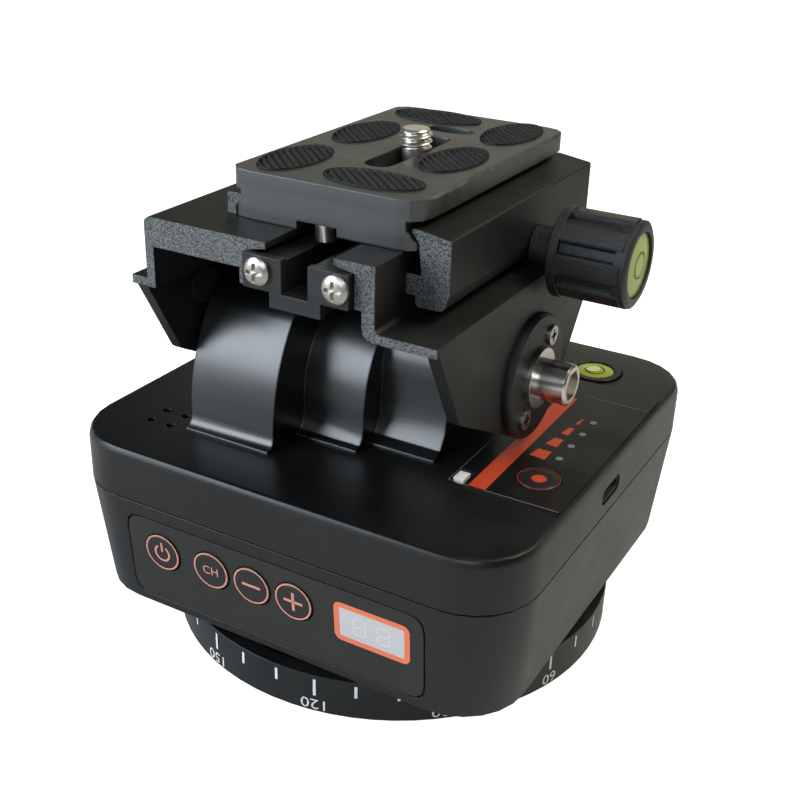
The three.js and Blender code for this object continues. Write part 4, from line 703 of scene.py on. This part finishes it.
# %% Dial scale
DIAL_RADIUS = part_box("dial_base")[1].x / MM
SCALE_LIFT = 0.03
SCALE_START = 131.3
MARK_TOP, MARK_WIDTH, SHORT_MARK, LONG_MARK = 8.5, 0.6, 2.8, 3.9
NUMBER_MIDDLE, NUMBER_HEIGHT, NUMBER_STRETCH = 2.4, 2.35, 1.2


def on_dial(angle, height):
    turn = math.radians(angle)
    radius = DIAL_RADIUS + SCALE_LIFT
    return (radius * math.sin(turn), -radius * math.cos(turn), height)


def degrees_of(length):
    return math.degrees(length / DIAL_RADIUS)


scale_marks = []
for value in range(0, 360, 10):
    middle = SCALE_START - value
    numbered = value % 30 == 0
    length = LONG_MARK if numbered else SHORT_MARK
    scale_marks += bar_shape(middle, MARK_TOP - length / 2, degrees_of(MARK_WIDTH), length)
    if numbered:
        for polygon in text_shape(str(value), 0, NUMBER_MIDDLE, NUMBER_HEIGHT, turned=True):
            scale_marks.append([(middle + degrees_of(NUMBER_STRETCH * x), y) for x, y in polygon])
print_on("dial_scale", scale_marks, on_dial, white_ink, "base")
print("dial scale polygons:", len(scale_marks))

# %% [markdown]
# The control panel leans back with the front face. Its prints are drawn on the panel's own plane: the
# distance across, and the distance up from its middle. The lean comes from the housing, whose faces
# draw in by two millimetres from top to foot.

# %% The panel's plane
HOUSING_TAPER = 2.0


def middle_of(node):
    low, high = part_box(node)
    return (low + high) / (2 * MM)


housing_low, housing_high = (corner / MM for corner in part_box("lower_housing"))
LEAN = math.atan2(HOUSING_TAPER, housing_high.z - housing_low.z)
PANEL_Z = middle_of("control_panel").z
PANEL_Y = housing_low.y + math.tan(LEAN) * (housing_high.z - PANEL_Z)


def on_panel(offset):
    def place(x, up):
        return (x, PANEL_Y - offset * math.cos(LEAN) - up * math.sin(LEAN),
                PANEL_Z - offset * math.sin(LEAN) + up * math.cos(LEAN))
    return place


def panel_up(node):
    return (middle_of(node).z - PANEL_Z) / math.cos(LEAN)


print("panel leans", round(math.degrees(LEAN), 2), "degrees")

# %% [markdown]
# Each button has a ring and a symbol that any such remote head has: power, channel, minus and plus. They
# ride with the button, so that they go in when it is pressed. The power sign is an open ring with a bar
# in its gap.

# %% Button prints
BUTTON_PROUD = 0.3
BUTTON_RING = (3.75, 4.1)
SIGN_LENGTH, MINUS_LINE, PLUS_LINE = 4.3, 0.6, 0.62
POWER_ARC = ring_shape(0, -0.15, 1.5, 1.95, 122, 418)
POWER_BAR = bar_shape(0, 1.3, 0.45, 2.2)
CHANNEL_LETTERS = 1.9

symbols = {
    "power_button": POWER_ARC + POWER_BAR,
    "channel_button": text_shape("CH", 0, 0, CHANNEL_LETTERS),
    "minus_button": bar_shape(0, 0, SIGN_LENGTH, MINUS_LINE),
    "plus_button": bar_shape(0, 0, SIGN_LENGTH, PLUS_LINE) + bar_shape(0, 0, PLUS_LINE, SIGN_LENGTH),
}
button_up = panel_up("power_button")
for name, symbol in symbols.items():
    button_x = middle_of(name).x
    shapes = [[(x + button_x, y + button_up) for x, y in polygon]
              for polygon in ring_shape(0, 0, *BUTTON_RING) + symbol]
    print_on(name + "_print", shapes, on_panel(BUTTON_PROUD + PRINT_LIFT), coral_ink,
             name.replace("button", "key"))
print("button prints:", len(symbols))

# %% [markdown]
# The display is a pale window in an orange frame. Its two digits are off, so that only the grey shape of
# their seven segments shows.

# %% Display frame and digits
DISPLAY_X, DISPLAY_UP = middle_of("display_window").x, panel_up("display_window")
FRAME_WIDTH, FRAME_HEIGHT, FRAME_CORNER, FRAME_LINE, FRAME_LIFT = 16.2, 9.0, 1.5, 1.15, 0.03
DIGIT_GAP, DIGIT_WIDE, SEGMENT = 2.6, 2.4, 0.5
ROW_STEP, FLAT_SEGMENT, TALL_SEGMENT = 1.9, 2.0, 1.5

print_on("display_frame",
         frame_shape(DISPLAY_X, DISPLAY_UP, FRAME_WIDTH, FRAME_HEIGHT, FRAME_CORNER, FRAME_LINE),
         on_panel(FRAME_LIFT), orange_ink, "head")
segments = []
for middle in (DISPLAY_X - DIGIT_GAP, DISPLAY_X + DIGIT_GAP):
    for up in (-ROW_STEP, 0.0, ROW_STEP):
        segments += bar_shape(middle, DISPLAY_UP + up, FLAT_SEGMENT, SEGMENT)
    for side in (-DIGIT_WIDE / 2, DIGIT_WIDE / 2):
        for up in (-ROW_STEP / 2, ROW_STEP / 2):
            segments += bar_shape(middle + side, DISPLAY_UP + up, SEGMENT, TALL_SEGMENT)
print_on("display_digits", segments, on_panel(PRINT_LIFT), digit_grey, "head")
print("digit segments:", len(segments))

# %% [markdown]
# The label on the cover has a red stripe, a row of bars that shrink towards the rear, four small light
# windows and a thin line across its end. Its cut edges at the front and the left are bare film and catch
# the light, and that light is painted on them as thin light grey strips, a painted highlight. All of it
# is drawn from the label's front left corner.

# %% Label prints
label_low, label_high = (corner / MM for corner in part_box("top_label"))
STRIPE = [(4.3, 0.1), (7.8, 0.1), (7.6, 46.0), (4.0, 46.0)]
BAR_SPANS = ((0.0, 3.4), (6.0, 9.4), (11.9, 15.2), (17.5, 20.2))
BARS_RIGHT, BARS_FRONT, BAR_WIDTH, BAR_SLANT, BAR_LEAN = 12.5, 17.4, 3.4, 0.15, 0.3
LIGHTS_X, FIRST_LIGHT, LIGHT_STEP, LIGHT_RADIUS = 14.8, 19.1, 6.05, 0.75
END_LINE = rectangle(8.0, 48.4, 22.9, 48.6)
# Painted highlight: thin light grey strips along the label's front and left cut edges, where they catch
# the light.
CUT_EDGE_HIGHLIGHTS = [rectangle(0.1, 0.1, 22.6, 0.25), rectangle(0.1, 0.25, 0.22, 40.0)]


def on_label(x, y):
    return (label_low.x + x, label_low.y + y, label_high.z + PRINT_LIFT)


bars = []
for low, high in BAR_SPANS:
    near, far = (BARS_RIGHT - BAR_WIDTH + BAR_SLANT * y for y in (low, high))
    bars.append([(near, BARS_FRONT + low), (BARS_RIGHT, BARS_FRONT + low - BAR_LEAN),
                 (BARS_RIGHT, BARS_FRONT + high), (far, BARS_FRONT + high)])
lights = []
for step in range(4):
    lights += disc_shape(LIGHTS_X, FIRST_LIGHT + LIGHT_STEP * step, LIGHT_RADIUS)
print_on("label_stripe", [STRIPE], on_label, red_ink, "head")
print_on("speed_bars", bars, on_label, red_ink, "head")
print_on("light_windows", lights, on_label, light_grey, "head")
print_on("label_line", [END_LINE], on_label, grey_ink, "head")
# The light grey strips on the cut edges are a painted highlight.
print_on("label_edge_highlight", CUT_EDGE_HIGHLIGHTS, on_label, light_grey, "head")
print("label prints:", len(bars), "bars and", len(lights), "windows")

# %% [markdown]
# The record button has a thin ring and a dot. They lie on top of the button, so they need a placing
# function for a level surface, which the level vial uses too.

# %% Record button print
RECORD_RING, RECORD_DOT = (4.0, 4.12), 1.45


def on_top_of(node, lift):
    middle, top = middle_of(node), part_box(node)[1].z / MM
    return lambda x, y: (middle.x + x, middle.y + y, top + lift)


print_on("record_print", ring_shape(0, 0, *RECORD_RING) + disc_shape(0, 0, RECORD_DOT),
         on_top_of("record_button", PRINT_LIFT), red_ink, "record_key")
print("record button printed")

# %% [markdown]
# The two screws of the tilt flange are driven with a cross-head driver. Their recess is small and lies in
# shade, so a dark cross of painted shade on each head stands for it at this size. The heads look to the
# right, and so does the vial in the knob, so this placing function serves both.

# %% Cross recesses
RECESS_LENGTH, RECESS_WIDTH = 2.6, 0.62
recess = (bar_shape(0, 0, RECESS_LENGTH, RECESS_WIDTH) + bar_shape(0, 0, RECESS_WIDTH, RECESS_LENGTH)
          + disc_shape(0, 0, RECESS_WIDTH))


def on_right_of(node, lift):
    middle, end = middle_of(node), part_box(node)[1].x / MM
    return lambda across, up: (end + lift, middle.y + across, middle.z + up)


for name in ("flange_screw_lower", "flange_screw_upper"):
    # Each dark cross is painted shade for the recess of its screw.
    print_on(name + "_recess", recess, on_right_of(name, PRINT_LIFT), recess_shade, "tilt_bracket")
print("recess polygons:", len(recess))

# %% [markdown]
# A vial shows a bubble and a black circle that it should sit in. The bubble of the level on the cover is
# a little off the middle, as on any table, and lies under the circle. The vial in the knob shows its
# circle only.

# %% Vial bubble and circles
LEVEL_CIRCLE, KNOB_CIRCLE = (2.0, 2.25), (2.3, 2.6)
BUBBLE = (-0.8, 0.4, 1.8)
BUBBLE_LIFT = 0.01

print_on("level_ring", ring_shape(0, 0, *LEVEL_CIRCLE), on_top_of("level_vial", PRINT_LIFT),
         ring_ink, "head")
print_on("level_bubble", disc_shape(*BUBBLE), on_top_of("level_vial", BUBBLE_LIFT), bubble_shine, "head")
print_on("knob_ring", ring_shape(0, 0, *KNOB_CIRCLE), on_right_of("knob_vial", PRINT_LIFT),
         ring_ink, "knob")
print("vial circles and bubble made")

# %% [markdown]
# The camera screw is what a camera is held by, so its thread is worth cutting. The surface is a grid
# round the screw: at every point the radius follows how far the helix has climbed there, and a
# chamfer leads into the flat end. It replaces the plain screw, whose neck and slotted head are kept.

# %% Thread surface
THREAD_COLUMNS, THREAD_ROWS = 64, 64
THREAD_SHARPNESS = 0.7


def thread_rings(shape, centre, top, major, depth, pitch, length, chamfer):
    rings = []
    for row in range(THREAD_ROWS + 1):
        z = top - length + length * row / THREAD_ROWS
        ring = []
        for column in range(THREAD_COLUMNS):
            phase = (z / pitch - column / THREAD_COLUMNS) % 1.0
            groove = (0.5 - 0.5 * math.cos(2 * math.pi * phase)) ** THREAD_SHARPNESS
            radius = min(major - depth * groove, major - chamfer + top - z)
            angle = 2 * math.pi * column / THREAD_COLUMNS
            ring.append(shape.verts.new((centre.x + radius * math.cos(angle),
                                         centre.y + radius * math.sin(angle), z)))
        rings.append(ring)
    return rings


print("thread surface:", THREAD_COLUMNS, "by", THREAD_ROWS)

# %% [markdown]
# The thread is the quarter inch one that every camera has: 20 turns to the inch, so 1.27 mm from one
# crest to the next. The faces of the plain shank go, and the grid takes their place in a copy of the
# mesh.

# %% Camera screw
THREAD = {"major": 3.175 * MM, "depth": 0.75 * MM, "pitch": 1.27 * MM, "length": 3.6 * MM,
          "chamfer": 0.7 * MM}
SHANK_MARGIN = 1e-5
THREAD_ANGLE = 50


def threaded_screw(node, thread):
    low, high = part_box(node)
    bottom = high.z - thread["length"]
    mesh = nodes[node].data.copy()
    obj = bpy.data.objects.new(node + "_threaded", mesh)
    scene.collection.objects.link(obj)
    shape = bmesh.new()
    shape.from_mesh(mesh)
    shank = [face for face in shape.faces if all(v.co.z > bottom - SHANK_MARGIN for v in face.verts)]
    bmesh.ops.delete(shape, geom=shank, context="FACES")
    rings = thread_rings(shape, (low + high) / 2, high.z, **thread)
    for lower, upper in zip(rings, rings[1:]):
        for i in range(THREAD_COLUMNS):
            j = (i + 1) % THREAD_COLUMNS
            shape.faces.new((lower[i], lower[j], upper[j], upper[i]))
    shape.faces.new(rings[-1])
    shape.to_mesh(mesh)
    shape.free()
    mesh.materials.clear()
    mesh.materials.append(nickel)
    smooth_by_angle(obj, THREAD_ANGLE)
    return obj


camera_screw = threaded_screw("camera_screw", THREAD)
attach(camera_screw, "screw")
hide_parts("camera_screw")
print("screw faces:", len(camera_screw.data.polygons))

# %% [markdown]
# The grip pads are moulded rubber with sharp ribs that run askew across the plate and small notches
# across the ribs. The surface drops from its highest level in a zigzag across the ribs, flat at each
# crest, and a smaller wave along the ribs cuts the notches.

# %% Rib profile
RIB_TURN = math.radians(-44)
RIB_PITCH, RIB_DEPTH, NOTCH_DEPTH = 1.36, 0.6, 0.24
RIB_SLOPE, RIB_CREST = 1.6, 0.3


def pad_height(across, along):
    rib = abs(2 * ((across / RIB_PITCH) % 1.0) - 1)
    notch = 0.5 + 0.5 * math.cos(2 * math.pi * along / RIB_PITCH)
    return -RIB_DEPTH * max(0.0, min(1.0, RIB_SLOPE * rib - RIB_CREST)) - NOTCH_DEPTH * notch


print("ribs every", RIB_PITCH, "mm")

# %% [markdown]
# Each pad is an oval, and its grid is laid along the ribs: the strips step over the ribs, and the points
# of a strip run from edge to edge of the oval, so the outline stays clean. A narrow flat rim keeps the
# ribs from notching it. How far the strips reach follows from the oval's equation, written in the ribs'
# own directions: it has a term for the distance along, one for the distance across and a mixed one.

# %% Grid of a pad
STRIPS, POINTS = 96, 48
TIP_SHARE = 0.9995
FLAT_STRIPS, FLAT_POINTS = 2, 1


def pad_grid(reach):
    cos_turn, sin_turn = math.cos(RIB_TURN), math.sin(RIB_TURN)
    along_term = (cos_turn / reach.x) ** 2 + (sin_turn / reach.y) ** 2
    mixed_term = cos_turn * sin_turn * (1 / reach.y ** 2 - 1 / reach.x ** 2)
    across_term = (sin_turn / reach.x) ** 2 + (cos_turn / reach.y) ** 2
    product = along_term * across_term
    widest = math.sqrt(along_term / (product - mixed_term ** 2))
    strips = []
    for strip in range(STRIPS + 1):
        across = widest * math.sin(math.pi * (strip / STRIPS - 0.5)) * TIP_SHARE
        left_over = across ** 2 * (mixed_term ** 2 - product) + along_term
        spread = math.sqrt(max(0.0, left_over)) / along_term
        middle = -mixed_term * across / along_term
        rim = min(strip, STRIPS - strip) < FLAT_STRIPS
        row = []
        for i in range(POINTS + 1):
            along = middle + spread * (2 * i / POINTS - 1)
            flat = rim or min(i, POINTS - i) < FLAT_POINTS
            row.append((across, along, 0.0 if flat else pad_height(across, along)))
        strips.append(row)
    return strips


print("pad grid:", STRIPS, "by", POINTS)

# %% [markdown]
# The pad's mesh is closed: the ribbed top, a flat bottom and a wall between them. The wall follows the
# ends of all strips on both sides, and the first and last strip close it at the tips.

# %% Ribbed grip pads
def ribbed_pad(node):
    low, high = (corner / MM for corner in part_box(node))
    centre, reach = (low + high) / 2, (high - low) / 2
    cos_turn, sin_turn = math.cos(RIB_TURN), math.sin(RIB_TURN)
    shape = bmesh.new()

    def vertex(across, along, z):
        return shape.verts.new(((centre.x - across * sin_turn + along * cos_turn) * MM,
                                (centre.y + across * cos_turn + along * sin_turn) * MM, z * MM))

    top, bottom = [], []
    for row in pad_grid(reach):
        top.append([vertex(across, along, high.z + drop) for across, along, drop in row])
        bottom.append([vertex(across, along, low.z) for across, along, _ in row])
    for rows, order in ((top, -1), (bottom, 1)):
        for first, second in zip(rows, rows[1:]):
            for i in range(POINTS):
                face = (first[i], first[i + 1], second[i + 1], second[i])
                shape.faces.new(face[::order])
    for i in range(STRIPS):
        shape.faces.new((top[i][0], top[i + 1][0], bottom[i + 1][0], bottom[i][0]))
        shape.faces.new((top[i + 1][-1], top[i][-1], bottom[i][-1], bottom[i + 1][-1]))
    for tip, order in ((0, 1), (STRIPS, -1)):
        for i in range(POINTS):
            face = (top[tip][i + 1], top[tip][i], bottom[tip][i], bottom[tip][i + 1])
            shape.faces.new(face[::order])
    bmesh.ops.recalc_face_normals(shape, faces=shape.faces[:])
    mesh = bpy.data.meshes.new(node + "_ribbed")
    shape.to_mesh(mesh)
    shape.free()
    mesh.materials.append(rubber)
    obj = bpy.data.objects.new(node + "_ribbed", mesh)
    scene.collection.objects.link(obj)
    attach(obj, "plate")
    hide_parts(node)
    return obj


ribbed = [ribbed_pad(name) for name in nodes if name.startswith("grip_pad_")]
print("ribbed pads:", len(ribbed))
